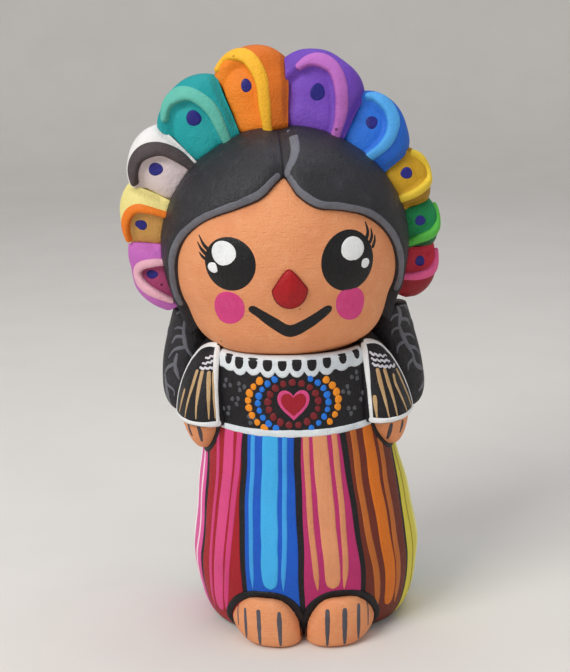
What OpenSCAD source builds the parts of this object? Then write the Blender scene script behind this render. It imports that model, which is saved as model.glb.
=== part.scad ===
// Papier-mache folk figure of a girl with a headdress of ribbon rolls.
// Millimetres. +Z is up, -Y is the front, and the origin is the middle of the flat underside.
// Every shell and lump is a paper piece of its own, glued to its neighbours through a thin glue line.

/* [Body] */
// Height of the body shell, from the table to the open collar
body_h = 128; // [100:1:160]
// Width of the flat underside
base_w = 78; // [66:1:94]
// Depth of the flat underside
base_d = 64; // [54:1:78]
// Width of the skirt at its fullest
skirt_w = 100; // [92:1:120]
// Depth of the skirt at its fullest
skirt_d = 84; // [76:1:100]
// Height at which the skirt is fullest
skirt_z = 33; // [26:1:40]
// Width of the waist, under the hands
waist_w = 86; // [70:1:92]
// Depth of the waist
waist_d = 73; // [62:1:80]
// How far the waist lies below the collar
waist_drop = 53; // [44:1:60]
// Width of the chest
chest_w = 80; // [74:1:90]
// Depth of the chest
chest_d = 67; // [62:1:78]
// How far the chest lies below the collar
chest_drop = 23; // [18:1:30]
// Sideways lean of the collar, to the figure's right when negative
lean = -4.5; // [-6:0.5:6]
// Forward lean of the collar when negative
lean_y = -2.5; // [-5:0.5:3]
// Thickness of the laminated paper shells
wall = 4; // [3:0.5:5]

/* [Head] */
// Half width of the bare head
head_rx = 49; // [40:0.5:60]
// Half depth of the bare head
head_ry = 43; // [36:0.5:52]
// Half height of the bare head
head_rz = 47; // [39:0.5:57]
// How deep the head sits in the collar
head_sink = 8; // [6:0.5:10]
// Gap between the head and the inside of the collar
collar_gap = 2.7; // [1.5:0.1:4]
// Tilt of the head to the figure's right
head_tilt = 2; // [-4:0.5:4]
// Turn of the head to the figure's left
head_turn = 3; // [-6:0.5:6]

/* [Hair] */
// Thickness of the paper layer that makes the hair
hair_t = 4; // [3:0.5:5]
// Angle from the nose to the hairline at the parting
hairline_top = 45; // [38:1:54]
// Angle from the nose to the hairline at its lowest sweep across the forehead
hairline_sweep = 34; // [28:1:41]
// Angle from the nose to the hairline at the cheek
hairline_side = 68; // [60:1:76]
// How far the hair reaches below the middle of the head, as an angle
hair_drop = 45; // [36:1:47]

/* [Headdress] */
// Height of the rolls over the hair at the top of the head
roll_top_h = 33.5; // [27:0.5:41]
// Height of the rolls over the hair at the ears
roll_side_h = 13.5; // [11:0.5:18]
// Extra reach of the rolls over the figure's right ear
roll_swell = 6.5; // [0:0.5:8]
// Depth of the dip between two rolls
roll_dip = 5.5; // [3:0.5:7]
// Thickness of the headdress from front to back
roll_d = 27; // [20:1:33]
// Distance of the headdress's middle plane behind the middle of the head
roll_y = 8; // [4:0.5:12]
// Width of the coil laid on the front of each roll
coil_w = 3.8; // [3:0.2:4.6]
// Height of that coil over the roll
coil_h = 1.8; // [1.2:0.2:2.6]

/* [Sleeves and hands] */
// How far the sleeve's open edge lies below the collar
sleeve_drop = 33; // [32:1:40]
// How far the top of the sleeve lies below the collar
shoulder_drop = 3; // [2:0.5:6]
// How far the sleeve stands off the body at its open edge
sleeve_t = 11; // [8:0.5:13]
// How far the sleeve stands off the body at the shoulder
shoulder_t = 2.5; // [2:0.5:5]
// Distance from the middle of the chest to the sleeve's inner edge
sleeve_x = 30; // [24:0.5:33]
// Angle round the body to the middle of the hand; 0 is straight to the side
hand_a = -21; // [-30:1:-18]
// How far the hand reaches below the sleeve
hand_l = 14; // [8:0.5:14]
// How far the hand stands off the body
hand_t = 7; // [5:0.5:9]

/* [Feet] */
// Width of one foot
foot_w = 31.5; // [26:0.5:38]
// Height of one foot
foot_h = 21; // [16:1:26]
// How far the foot stands out of the skirt
foot_t = 8.5; // [6:0.5:11]
// Gap between the two feet
foot_gap = 1.2; // [0.8:0.2:3]
// How far the gap between the feet lies left of the middle (figure's left is +)
foot_shift = -1.7; // [-3:0.1:3]
// How much further the toes reach forward at the floor
toe_reach = 5; // [0:0.5:6]
// Share of a foot's outer half that curves in at the floor
toe_tuck = 0.45; // [0:0.05:0.6]

/* [Braids] */
// How far the lower end of a braid lies below the collar
braid_drop = 37; // [30:1:42]
// Distance from the middle of the figure to the outside of a braid
braid_x = 58.5; // [56:0.5:62]
// Width of a braid at its fullest
braid_w = 22; // [18:0.5:26]
// Depth of a braid at its fullest
braid_d = 21; // [17:0.5:25]

/* [Nose] */
// Width of the nose
nose_w = 15.5; // [12:0.5:19]
// Height of the nose
nose_l = 17; // [14:0.5:21]
// How far the nose stands out
nose_t = 3.6; // [2:0.2:5]
// How far the nose lies below the middle of the head
nose_drop = 10; // [8:0.5:14]

/* [Inside] */
// Outer radius of the rolled-card neck
neck_r = 11; // [9:0.5:14]
// Wall of the rolled-card neck
neck_wall = 1.6; // [1:0.2:3]
// How far the neck reaches into the head
neck_in = 24; // [16:1:30]
// Thickness of the card discs
card_t = 3; // [2:0.5:4]
// How far the shoulder disc's underside lies below the collar
disc_drop = 24; // [20:1:28]
// Thickness of the paper strips along the seams
strip_t = 1; // [0.6:0.2:1.6]

/* [Fits] */
// Glue line between two pieces
glue = 0.25; // [0.2:0.05:0.4]
// Glue bed under a lump that is modelled onto a rounded shell
bed = 0.35; // [0.3:0.05:0.5]
// Radial clearance of the neck in its holes
neck_fit = 0.05; // [0.02:0.01:0.1]

/* [Hidden] */

// Angles at which the rolls begin, from the figure's left ear over the top to its right ear
roll_ends = [-27, -4, 14, 34, 59, 86, 109, 133, 155, 176, 205];
// Path of a coil over its roll: share of the way along it, place across the roll, place up it
coil_path = [[0, 0.8, 0.5], [0.14, 0.7, 0.7], [0.34, 0.36, 0.83], [0.54, 0.03, 0.74],
             [0.72, -0.04, 0.52], [0.87, 0, 0.28], [1, 0.02, 0.07]];
// Place across each roll where its coil comes down to the hair
coil_leg = [-0.3, -0.5, -0.3, -0.25, -0.6, 0, -0.2, -0.4, -0.1, -0.1];

body_n = 2.2;      // squareness of the body's cross-section
roll_n = 2.6;      // squareness of a roll's cross-section
lip = 0.4;         // edge thickness where a lump fades into what it is glued to
body_step = 7.5;   // degrees between the columns of the body shells
head_step = 9;     // degrees between the columns and rows of the head

head_c = body_h + head_rz - head_sink;
collar_share = sqrt(1 - pow((head_rz - head_sink) / head_rz, 2));
collar_w = 2 * (head_rx * collar_share + wall + collar_gap);
collar_d = 2 * (head_ry * collar_share + wall + collar_gap);
waist_z = body_h - waist_drop;
chest_z = body_h - chest_drop;
hem_z = body_h - sleeve_drop;
shoulder_z = body_h - shoulder_drop;
disc_z = body_h - disc_drop;
neck_z = disc_z - 4;
neck_top = head_c - head_rz + neck_in;
body_rows = concat([for (i = [0:6]) skirt_z * (1 - cos(15 * i))],
                   [for (i = [1:9]) skirt_z + (body_h - skirt_z) * i / 9]);

// ---- Curves ----

function lerp(a, b, t) = a + (b - a) * t;
function clamp01(t) = max(0, min(1, t));
function ease(t) = let (s = clamp01(t)) s * s * (3 - 2 * s);
function spow(x, p) = sign(x) * pow(abs(x), p);
function unit(v) = v / norm(v);
// Height, from 0 to 1, of a dome of squareness n at distance u from its middle
function dome(u, n = 2.4) = pow(max(0, 1 - pow(min(1, abs(u)), n)), 1 / n);
function steps(n) = [for (i = [0:n]) i / n];
// Smooth curve through knots; c is the column that holds the value
function span_of(k, x, i = 0) = (i >= len(k) - 2 || x < k[i + 1][0]) ? i : span_of(k, x, i + 1);
function slope_at(k, i, c) =
    let (a = max(0, i - 1), b = min(len(k) - 1, i + 1)) (k[b][c] - k[a][c]) / (k[b][0] - k[a][0]);
function curve(k, x, c = 1) =
    let (i = span_of(k, x), h = k[i + 1][0] - k[i][0], t = clamp01((x - k[i][0]) / h))
    (2 * t * t * t - 3 * t * t + 1) * k[i][c] + (t * t * t - 2 * t * t + t) * h * slope_at(k, i, c)
    + (3 * t * t - 2 * t * t * t) * k[i + 1][c] + (t * t * t - t * t) * h * slope_at(k, i + 1, c);
// A square of side 2 pressed into a round of radius 1
function round_x(u, v) = u * sqrt(1 - v * v / 2);
function round_y(u, v) = v * sqrt(1 - u * u / 2);

// ---- Body surface ----

// Full size at height z: a quarter ellipse up to the fullest point, then a smooth line
function body_size(z, base, skirt, waist, chest, collar) =
    z <= skirt_z
    ? base + (skirt - base) * sqrt(max(0, 1 - pow((skirt_z - z) / skirt_z, 2)))
    : curve([[skirt_z - 12, skirt - 1], [skirt_z, skirt],
             [lerp(skirt_z, waist_z, 0.5), lerp(skirt, waist, 0.42)], [waist_z, waist],
             [chest_z, chest], [body_h, collar]], z);
function body_rx(z) = body_size(z, base_w, skirt_w, waist_w, chest_w, collar_w) / 2;
function body_ry(z) = body_size(z, base_d, skirt_d, waist_d, chest_d, collar_d) / 2;
function body_lean(z) = ease((z - skirt_z) / (body_h - skirt_z));
function body_mid(z) = [lean * body_lean(z), lean_y * body_lean(z), z];
// Point at angle a (0 is +X, 90 the back) and height z, off outside the surface
function body_pt(a, z, off = 0) =
    body_mid(z) + [(body_rx(z) + off) * spow(cos(a), 2 / body_n),
                   (body_ry(z) + off) * spow(sin(a), 2 / body_n), 0];
// Angle of the point on the front of the body that lies x from its middle line
function body_angle(x, z, off = 0) = let (s = clamp01(abs(x) / (body_rx(z) + off)))
    x < 0 ? acos(pow(s, body_n / 2)) - 180 : -acos(pow(s, body_n / 2));

// ---- Head surface, about the middle of the head ----

// Point at angle p from the nose (90 is the seam) and angle a round it (0 is +X, 90 the top)
function head_pt(a, p, off = 0) =
    [(head_rx + off) * sin(p) * cos(a), -(head_ry + off) * cos(p), (head_rz + off) * sin(p) * sin(a)];
// Distance of the surface from the fore-and-aft axis, in direction a, y behind the middle
function head_reach(a, y, off = 0) =
    sqrt(max(0, 1 - pow(y / (head_ry + off), 2)))
    / sqrt(pow(cos(a) / (head_rx + off), 2) + pow(sin(a) / (head_rz + off), 2));
// Point on the face behind x, z
function face_pt(x, z, off = 0) =
    [x, -(head_ry + off) * sqrt(max(0, 1 - pow(x / (head_rx + off), 2) - pow(z / (head_rz + off), 2))), z];
// Angle from the nose to the hairline, on the figure's right
function hairline(a) =
    curve([[90, hairline_top], [108, lerp(hairline_sweep, hairline_top, 0.2)], [128, hairline_sweep],
           [152, lerp(hairline_sweep, hairline_side, 0.22)],
           [180, lerp(hairline_sweep, hairline_side, 0.86)],
           [200, hairline_side], [180 + hair_drop, hairline_side + 2]], a);
// Angle from the nose to the edge of the hair on the back half
function nape(a) = sin(a) > -sin(hair_drop) ? 90 : 180 - asin(sin(hair_drop) / abs(sin(a)));

module on_neck() {
    translate([lean, lean_y, body_h])
        rotate([0, -head_tilt, 0])
            rotate([0, 0, head_turn])
                translate([0, 0, head_c - body_h])
                    children();
}
// A point of the figure, as seen from the middle of the head
function to_head(p) =
    let (q = p - [lean, lean_y, body_h],
         x = q[0] * cos(head_tilt) + q[2] * sin(head_tilt),
         z = q[2] * cos(head_tilt) - q[0] * sin(head_tilt))
    [x * cos(head_turn) + q[1] * sin(head_turn),
     q[1] * cos(head_turn) - x * sin(head_turn),
     z - head_c + body_h];
function from_head(p) =
    let (x = p[0] * cos(head_turn) - p[1] * sin(head_turn),
         y = p[0] * sin(head_turn) + p[1] * cos(head_turn),
         z = p[2] + head_c - body_h)
    [lean + x * cos(head_tilt) - z * sin(head_tilt),
     lean_y + y,
     body_h + x * sin(head_tilt) + z * cos(head_tilt)];

// ---- Roll surface, about the middle of the head ----

function crest(a) =
    let (rx = head_rx + hair_t + roll_side_h + roll_swell * max(0, sin(2 * clamp01((a - 95) / 90) * 90)),
         rz = sin(a) < 0 ? head_rz + hair_t + roll_side_h : head_rz + hair_t + roll_top_h)
    1 / sqrt(pow(cos(a) / rx, 2) + pow(sin(a) / rz, 2));
// Share of the full dip at roll end i
function dip_share(i) = (i == 0 || i == 10) ? 1.25 : lerp(0.35, 1.1, ease(sin(roll_ends[i])));
// Place from -1 to 1 across roll i
function roll_angle(i, u) = lerp(roll_ends[i], roll_ends[i + 1], (u + 1) / 2);
function roll_top(i, u) =
    crest(roll_angle(i, u)) - roll_dip * dip_share(u < 0 ? i : i + 1) * pow(abs(u), 2.2);
// Point across and up roll i: v is 0 at its front foot, 1 on its crest, 2 at its back foot
function roll_pt(i, u, v, gap = 0) =
    let (a = roll_angle(i, u) - sign(u) * gap * 90 / PI / head_rx,
         half = roll_d / 2 * (1 - 0.2 * pow(abs(u), 2.2)),
         y = roll_y - half * spow(cos(90 * v), 2 / roll_n),
         foot = head_reach(a, y, hair_t) + bed,
         r = lerp(foot, roll_top(i, u), spow(sin(90 * v), 2 / roll_n)))
    [r * cos(a), y, r * sin(a)];
function coil_u(i, s) = curve(coil_path, s, 1) + coil_leg[i] * ease((s - 0.1) / 0.7);
// Point s along the coil and c (-1 to 1) across it, h over the roll
function coil_pt(i, s, c, h) =
    let (u = coil_u(i, s), v = curve(coil_path, s, 2),
         p = roll_pt(i, u, v),
         n = unit(cross(roll_pt(i, u, v + 0.02) - p, roll_pt(i, u + 0.02, v) - p)),
         ahead = roll_pt(i, coil_u(i, s + 0.01), curve(coil_path, s + 0.01, 2)),
         back = roll_pt(i, coil_u(i, s - 0.01), curve(coil_path, s - 0.01, 2)))
    p + n * h + unit(cross(ahead - back, n)) * c * coil_w / 2;

// ---- Solids from points ----

// Solid between two grids of points of the same size
module patch(outer, inner) {
    rows = len(outer);
    cols = len(outer[0]);
    last_r = (rows - 1) * cols;
    last_c = cols - 1;
    far = rows * cols;
    tops = [for (r = [0:rows - 2], c = [0:cols - 2])
        let (q = r * cols + c) [q, q + cols, q + cols + 1, q + 1]];
    walls = concat(
        [for (c = [0:cols - 2]) [c, c + 1, far + c + 1, far + c]],
        [for (c = [0:cols - 2]) [last_r + c + 1, last_r + c, far + last_r + c, far + last_r + c + 1]],
        [for (r = [0:rows - 2]) let (q = r * cols) [q + cols, q, far + q, far + q + cols]],
        [for (r = [0:rows - 2]) let (q = r * cols + last_c) [q, q + cols, far + q + cols, far + q]]);
    faces = concat(
        [for (q = tops) each [[q[0], q[1], q[2]], [q[0], q[2], q[3]]]],
        [for (q = tops) each [[far + q[0], far + q[2], far + q[1]], [far + q[0], far + q[3], far + q[2]]]],
        [for (q = walls) each [[q[0], q[1], q[2]], [q[0], q[2], q[3]]]]);
    polyhedron(concat([for (row = outer) each row], [for (row = inner) each row]), faces, convexity = 6);
}

// Solid through closed rings of points, with a point at either end
module loft(first, rings, last) {
    n = len(rings[0]);
    end = len(rings) * n;
    faces = concat(
        [for (j = [0:n - 1]) [end, j, (j + 1) % n]],
        [for (i = [0:len(rings) - 2], j = [0:n - 1])
            let (a = i * n + j, b = i * n + (j + 1) % n)
            each [[b, a, a + n], [b, a + n, b + n]]],
        [for (j = [0:n - 1]) [end + 1, end - n + (j + 1) % n, end - n + j]]);
    polyhedron(concat([for (ring = rings) each ring], [first, last]), faces, convexity = 6);
}

// ---- Body ----

module body_half(from) {
    side = from < 90 ? 1 : -1;
    angles = [for (a = [from:body_step:from + 180]) a];
    translate([0, side * glue / 2, 0])
        patch([for (z = body_rows) [for (a = angles) body_pt(a, z)]],
              [for (z = body_rows) [for (a = angles) body_pt(a, z, -wall)]]);
}

module seam_strip(mid) {
    rows = [for (z = body_rows) if (z > card_t + 2 && z < disc_z - 1) z];
    angles = [mid - body_step, mid, mid + body_step];
    patch([for (z = rows) [for (a = angles) body_pt(a, z, -wall - glue)]],
          [for (z = rows) [for (a = angles) body_pt(a, z, -wall - glue - strip_t)]]);
}

module disc(z, at) {
    outline = [for (a = [0:body_step:359]) body_pt(a, at, -wall - glue)];
    translate([0, 0, z])
        linear_extrude(card_t)
            polygon([for (p = outline) [p[0], p[1]]]);
}

module neck_hole() {
    translate([lean, lean_y, disc_z - 1])
        cylinder(r = neck_r + neck_fit, h = neck_top - disc_z, $fn = 96);
}

module body_front_shell() {
    color("seagreen")
        body_half(180);
}

module body_back_shell() {
    color("royalblue")
        body_half(0);
}

module seam_strip_left() {
    color("wheat")
        seam_strip(0);
}

module seam_strip_right() {
    color("wheat")
        seam_strip(180);
}

module base_disc() {
    color("burlywood")
        disc(0, 0);
}

module shoulder_disc() {
    color("burlywood")
        difference() {
            disc(disc_z, disc_z + card_t);
            neck_hole();
        }
}

module neck_tube() {
    color("tan")
        translate([lean, lean_y, neck_z])
            difference() {
                cylinder(r = neck_r, h = neck_top - neck_z, $fn = 96);
                translate([0, 0, -1])
                    cylinder(r = neck_r - neck_wall, h = neck_top - neck_z + 2, $fn = 96);
            }
}

// ---- Head ----

// Half of the head ball; side is -1 for the face and 1 for the back
module head_half(side) {
    angles = [for (i = [0:360 / head_step - 1]) side * i * head_step];
    tilts = [for (i = [1:90 / head_step]) side < 0 ? i * head_step : 180 - i * head_step];
    back = [for (i = [len(tilts) - 1:-1:0]) tilts[i]];
    pole = side < 0 ? 0 : 180;
    difference() {
        on_neck()
            translate([0, side * glue / 2, 0])
                loft(head_pt(0, pole),
                     concat([for (p = tilts) [for (a = angles) head_pt(a, p)]],
                            [for (p = back) [for (a = angles) head_pt(a, p, -wall)]]),
                     head_pt(0, pole, -wall));
        neck_hole();
    }
}

module head_front_shell() {
    color("sandybrown")
        head_half(-1);
}

module head_back_shell() {
    color("peru")
        head_half(1);
}

module head_seam_band() {
    angles = [for (a = [-45:head_step:225]) a];
    tilts = [90 - head_step, 90, 90 + head_step];
    color("wheat")
        on_neck()
            patch([for (a = angles) [for (p = tilts) head_pt(a, p, -wall - glue)]],
                  [for (a = angles) [for (p = tilts) head_pt(a, p, -wall - glue - strip_t)]]);
}

// Hair on one side of the parting; side is -1 for the figure's right
module hair_swag(side) {
    angles = [for (t = steps(15)) lerp(90, 180 + hair_drop, t)];
    shares = [0, 0.03, 0.09, 0.18, 0.3, 0.44, 0.58, 0.72, 0.86, 1];
    rows = [for (i = [0:9]) shares[side > 0 ? 9 - i : i]];
    function at(a, k, off) =
        let (p = head_pt(a, lerp(hairline(a), 90, k), off)) [-side * p[0] + side * glue / 2, p[1], p[2]];
    function rise(k) = lerp(lip + bed, hair_t, dome(clamp01(1 - k / 0.25)));
    outer = [for (a = angles) [for (k = rows) at(a, k, rise(k))]];
    inner = [for (a = angles) [for (k = rows) at(a, k, bed)]];
    color("dimgray")
        on_neck()
            patch(outer, inner);
}

module hair_swag_left() {
    hair_swag(1);
}

module hair_swag_right() {
    hair_swag(-1);
}

module hair_back() {
    corner = 180 + hair_drop;
    down = [for (a = [0:head_step:corner - 0.1]) a];
    angles = concat(down, [for (t = [0, 0.5, 1.5, 4]) corner + t],
                    [for (t = steps(8)) lerp(corner + 9, 531 - corner, t)],
                    [for (t = [4, 1.5, 0.5, 0]) 540 - corner - t],
                    [for (i = [len(down) - 1:-1:0]) if (down[i] > 180.1) 540 - down[i]]);
    rows = [0.9:-0.1:-0.01];
    back = [0:0.1:0.91];
    color("dimgray")
        on_neck()
            translate([0, glue / 2, 0])
                loft(head_pt(0, 180, hair_t),
                     concat([for (k = rows) [for (a = angles) head_pt(a, lerp(nape(a), 180, k), hair_t)]],
                            [for (k = back) [for (a = angles) head_pt(a, lerp(nape(a), 180, k), bed)]]),
                     head_pt(0, 180, bed));
}

module nose() {
    grid = [for (i = [-4:4]) i / 4];
    function at(u, v, off) =
        let (x = round_x(u, v), z = round_y(u, v))
        face_pt(x * nose_w / 2 * (1 - 0.3 * max(0, z)), z * nose_l / 2 - nose_drop, off);
    function rise(u, v) = dome(norm([round_x(u, v), round_y(u, v)]), 2);
    color("crimson")
        on_neck()
            patch([for (v = grid) [for (u = grid) at(u, v, bed + lip + (nose_t - lip) * rise(u, v))]],
                  [for (v = grid) [for (u = grid) at(u, v, bed)]]);
}

// ---- Headdress ----

module roll(i) {
    places = [-1, -0.8, -0.55, -0.28, 0, 0.28, 0.55, 0.8, 1];
    ups = [0, 0.1, 0.22, 0.36, 0.52, 0.68, 0.84, 1, 1.16, 1.32, 1.48, 1.64, 1.78, 1.9, 2];
    // Points back along the hair under the roll
    function foot_row(u) = [for (t = [0.2, 0.4, 0.6, 0.8])
        let (p = roll_pt(i, u, 0, glue), q = roll_pt(i, u, 2, glue), y = lerp(q[1], p[1], t),
             a = atan2(p[2], p[0]), r = head_reach(a, y, hair_t) + bed)
        [r * cos(a), y, r * sin(a)]];
    rings = [for (u = places) concat([for (v = ups) roll_pt(i, u, v, glue)], foot_row(u))];
    function middle(ring) = (ring[0] + ring[14] + ring[7]) / 3;
    on_neck()
        loft(middle(rings[0]), rings, middle(rings[8]));
}

module coil(i) {
    along = steps(16);
    across = [-1, -0.6, 0, 0.6, 1];
    function rise(c) = bed + lip + (coil_h - lip) * dome(c, 2);
    on_neck()
        patch([for (s = along) [for (c = across) coil_pt(i, s, c, rise(c))]],
              [for (s = along) [for (c = across) coil_pt(i, s, c, bed)]]);
}

module roll_red() {
    color("firebrick")
        roll(0);
}

module roll_green() {
    color("seagreen")
        roll(1);
}

module roll_gold() {
    color("goldenrod")
        roll(2);
}

module roll_blue() {
    color("royalblue")
        roll(3);
}

module roll_purple() {
    color("rebeccapurple")
        roll(4);
}

module roll_orange() {
    color("darkorange")
        roll(5);
}

module roll_teal() {
    color("darkcyan")
        roll(6);
}

module roll_white() {
    color("whitesmoke")
        roll(7);
}

module roll_cream() {
    color("khaki")
        roll(8);
}

module roll_lilac() {
    color("orchid")
        roll(9);
}

module coil_red() {
    color("hotpink")
        coil(0);
}

module coil_green() {
    color("limegreen")
        coil(1);
}

module coil_gold() {
    color("yellow")
        coil(2);
}

module coil_blue() {
    color("deepskyblue")
        coil(3);
}

module coil_purple() {
    color("orchid")
        coil(4);
}

module coil_orange() {
    color("gold")
        coil(5);
}

module coil_teal() {
    color("mediumaquamarine")
        coil(6);
}

module coil_white() {
    color("dimgray")
        coil(7);
}

module coil_cream() {
    color("orange")
        coil(8);
}

module coil_lilac() {
    color("pink")
        coil(9);
}

// ---- Braids, sleeves, hands and feet ----

// Pushes a point out of the body and out of the hair
function outside(p) =
    let (m = body_mid(min(body_h, p[2])), z = min(body_h, p[2]), clear = glue + 0.2,
         bx = abs(p[0] - m[0]) / (body_rx(z) + clear), by = abs(p[1] - m[1]) / (body_ry(z) + clear),
         f = p[2] > body_h + 1 ? 1 : min(1, pow(pow(bx, body_n) + pow(by, body_n), 1 / body_n)),
         q = [m[0] + (p[0] - m[0]) / f, m[1] + (p[1] - m[1]) / f, p[2]],
         h = to_head(q), o = hair_t + clear,
         g = min(1, norm([h[0] / (head_rx + o), h[1] / (head_ry + o), h[2] / (head_rz + o)])))
    from_head(h / g);

// Braid; side is -1 for the figure's right
module braid(side) {
    low = body_h - braid_drop;
    // Height, gap to the braid's outside, width, depth, how far it lies behind the sleeve
    knots = [[low, 8, 0.2, 0.25, 1.5], [low + 2.5, 3, 0.58, 0.62, 1.5], [low + 7, 0.5, 0.84, 0.88, 1.2],
             [low + 13, 0, 0.97, 1, 1], [low + 24, 1.2, 1, 1, 0.8], [low + 35, 3.8, 0.96, 1, 0.8],
             [low + 42, 5.8, 0.76, 0.92, -1], [low + 48, 7.6, 0.42, 0.62, -1.5]];
    ring_z = [for (t = steps(14)) lerp(low, low + 48, pow(t, 1.25))];
    function ring(z) =
        let (rx = curve(knots, z, 2) * braid_w / 2, ry = curve(knots, z, 3) * braid_d / 2,
             x = braid_x - curve(knots, z, 1) - rx, y = curve(knots, z, 4) + ry, m = body_mid(z))
        [for (a = [0:18:359]) outside([m[0] + side * (x + rx * cos(a)), y + ry * sin(side * a), z])];
    function middle(r) = (r[0] + r[5] + r[10] + r[15]) / 4;
    rings = [for (z = ring_z) ring(z)];
    loft(middle(rings[0]), rings, middle(rings[14]));
}

module braid_left() {
    color("dimgray")
        braid(1);
}

module braid_right() {
    color("dimgray")
        braid(-1);
}

// Sleeve with the arm in it; mirrored for the figure's right
module sleeve(side) {
    function edge(z) = body_angle(sleeve_x, z);
    function at(k, c, off) =
        let (z = lerp(hem_z, shoulder_z, k), a = lerp(-1.2, edge(z), c))
        body_pt(side > 0 ? a : 180 - a, z, off);
    function rise(k, c) =
        let (w = 2 * c - 1, t = lerp(sleeve_t, shoulder_t, pow(k, 1.25)))
        bed + lip + (t - lip) * dome(w, w < 0 ? 5 : 2.2) * (1 - 0.8 * pow(k, 8));
    rows = [for (k = steps(10)) side > 0 ? 1 - k : k];
    cols = [0, 0.03, 0.08, 0.16, 0.28, 0.42, 0.56, 0.7, 0.82, 0.92, 1];
    patch([for (k = rows) [for (c = cols) at(k, c, rise(k, c))]],
          [for (k = rows) [for (c = cols) at(k, c, bed)]]);
}

module sleeve_left() {
    color("dimgray")
        sleeve(1);
}

module sleeve_right() {
    color("dimgray")
        sleeve(-1);
}

module hand(side) {
    function at(u, v, off) =
        let (x = round_x(u, v), y = round_y(u, v), z = hem_z - glue - hand_l * y,
             a = hand_a + x * 17)
        body_pt(side > 0 ? a : 180 - a, z, off);
    function rise(u, v) = bed + lip + (hand_t - lip) * dome(norm([round_x(u, v), round_y(u, v)]));
    rows = steps(6);
    cols = [for (i = [-5:5]) -side * i / 5];
    patch([for (v = rows) [for (u = cols) at(u, v, rise(u, v))]],
          [for (v = rows) [for (u = cols) at(u, v, bed)]]);
}

module hand_left() {
    color("sandybrown")
        hand(1);
}

module hand_right() {
    color("sandybrown")
        hand(-1);
}

module foot(side) {
    mid = foot_shift + side * (foot_w + foot_gap) / 2;
    // Half width of the arch, as a share, at height z
    function arch(z) = dome(z / foot_h * 0.995, 2.6);
    function tuck(u, z) = u * side > 0 ? 1 - toe_tuck * pow(max(0, 1 - 2 * z / foot_h), 2) : 1;
    function at(u, z) = body_pt(body_angle(mid + u * tuck(u, z) * arch(z) * foot_w / 2, z), z, bed);
    function thick(z) = foot_t + toe_reach * pow(1 - z / foot_h, 2) - lip;
    function rise(u, z) = lip + thick(z) * dome(norm([u * arch(z), 0.94 * z / foot_h]), 2.6);
    rows = concat([for (z = body_rows) if (z < 0.88 * foot_h) z], [0.94 * foot_h, foot_h]);
    cols = [for (i = [-7:7]) i / 7];
    patch([for (z = rows) [for (u = cols) at(u, z) - [0, rise(u, z), 0]]],
          [for (z = rows) [for (u = cols) at(u, z)]]);
}

module foot_left() {
    color("sandybrown")
        foot(1);
}

module foot_right() {
    color("sandybrown")
        foot(-1);
}

// ---- Which piece to show ----

body_front_shell();
body_back_shell();
seam_strip_left();
seam_strip_right();
base_disc();
shoulder_disc();
neck_tube();
head_front_shell();
head_back_shell();
head_seam_band();
hair_swag_left();
hair_swag_right();
hair_back();
nose();
roll_red();
roll_green();
roll_gold();
roll_blue();
roll_purple();
roll_orange();
roll_teal();
roll_white();
roll_cream();
roll_lilac();
coil_red();
coil_green();
coil_gold();
coil_blue();
coil_purple();
coil_orange();
coil_teal();
coil_white();
coil_cream();
coil_lilac();
braid_left();
braid_right();
sleeve_left();
sleeve_right();
hand_left();
hand_right();
foot_left();
foot_right();
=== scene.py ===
"""Looks of the painted papier-mache folk figure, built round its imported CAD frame.

Shapes are worked out in millimetres with the same sizes as the CAD source and stored in metres.
"""

import math

import bpy
import numpy as np
from mathutils import Matrix, Vector
from mathutils.bvhtree import BVHTree


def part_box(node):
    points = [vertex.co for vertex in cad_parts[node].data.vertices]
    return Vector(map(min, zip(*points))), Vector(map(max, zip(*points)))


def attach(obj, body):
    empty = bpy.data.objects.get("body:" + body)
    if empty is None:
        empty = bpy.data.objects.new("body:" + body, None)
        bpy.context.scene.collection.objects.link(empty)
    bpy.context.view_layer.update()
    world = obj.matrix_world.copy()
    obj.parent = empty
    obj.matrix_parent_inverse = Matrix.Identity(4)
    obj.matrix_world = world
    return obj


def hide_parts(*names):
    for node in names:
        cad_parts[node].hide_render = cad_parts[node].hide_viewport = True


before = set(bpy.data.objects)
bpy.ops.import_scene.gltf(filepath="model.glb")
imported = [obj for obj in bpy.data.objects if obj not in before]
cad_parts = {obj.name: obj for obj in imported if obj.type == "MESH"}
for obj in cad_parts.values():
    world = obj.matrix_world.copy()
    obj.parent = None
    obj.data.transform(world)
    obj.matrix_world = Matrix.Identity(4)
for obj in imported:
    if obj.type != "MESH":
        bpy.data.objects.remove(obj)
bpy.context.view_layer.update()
MM = 0.001
BLOUSE = "skirt_and_blouse"  # stored with the coats of paint laid on the body

# ---- sizes, as in the CAD source


def box_mm(*nodes):
    corners = [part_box(n) for n in nodes]
    low = [min(c[0][i] for c in corners) / MM for i in range(3)]
    high = [max(c[1][i] for c in corners) / MM for i in range(3)]
    return low, high


body_low, body_high = box_mm("body_front_shell", "body_back_shell")
BODY_H = body_high[2]
SKIRT_W = body_high[0] - body_low[0]
BASE_W, BASE_D, SKIRT_D, SKIRT_Z = 78.0, 64.0, 84.0, 33.0
WAIST_W, WAIST_D, WAIST_Z = 86.0, 73.0, BODY_H - 53.0
CHEST_W, CHEST_D, CHEST_Z = 80.0, 67.0, BODY_H - 23.0
LEAN, LEAN_Y, WALL = -4.5, -2.5, 4.0
HEAD = np.array([49.0, 43.0, 47.0])
HEAD_SINK, COLLAR_GAP, HEAD_TILT, HEAD_TURN = 8.0, 2.7, 2.0, 3.0
HEAD_C = BODY_H + HEAD[2] - HEAD_SINK
HAIR_T, HAIR_DROP = 4.0, 45.0
ROLL_TOP, ROLL_SIDE, ROLL_SWELL, ROLL_DIP = 33.5, 13.5, 6.5, 5.5
ROLL_D, ROLL_Y, ROLL_N, ROLL_FOOT = 27.0, 8.0, 2.6, -0.3
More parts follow.
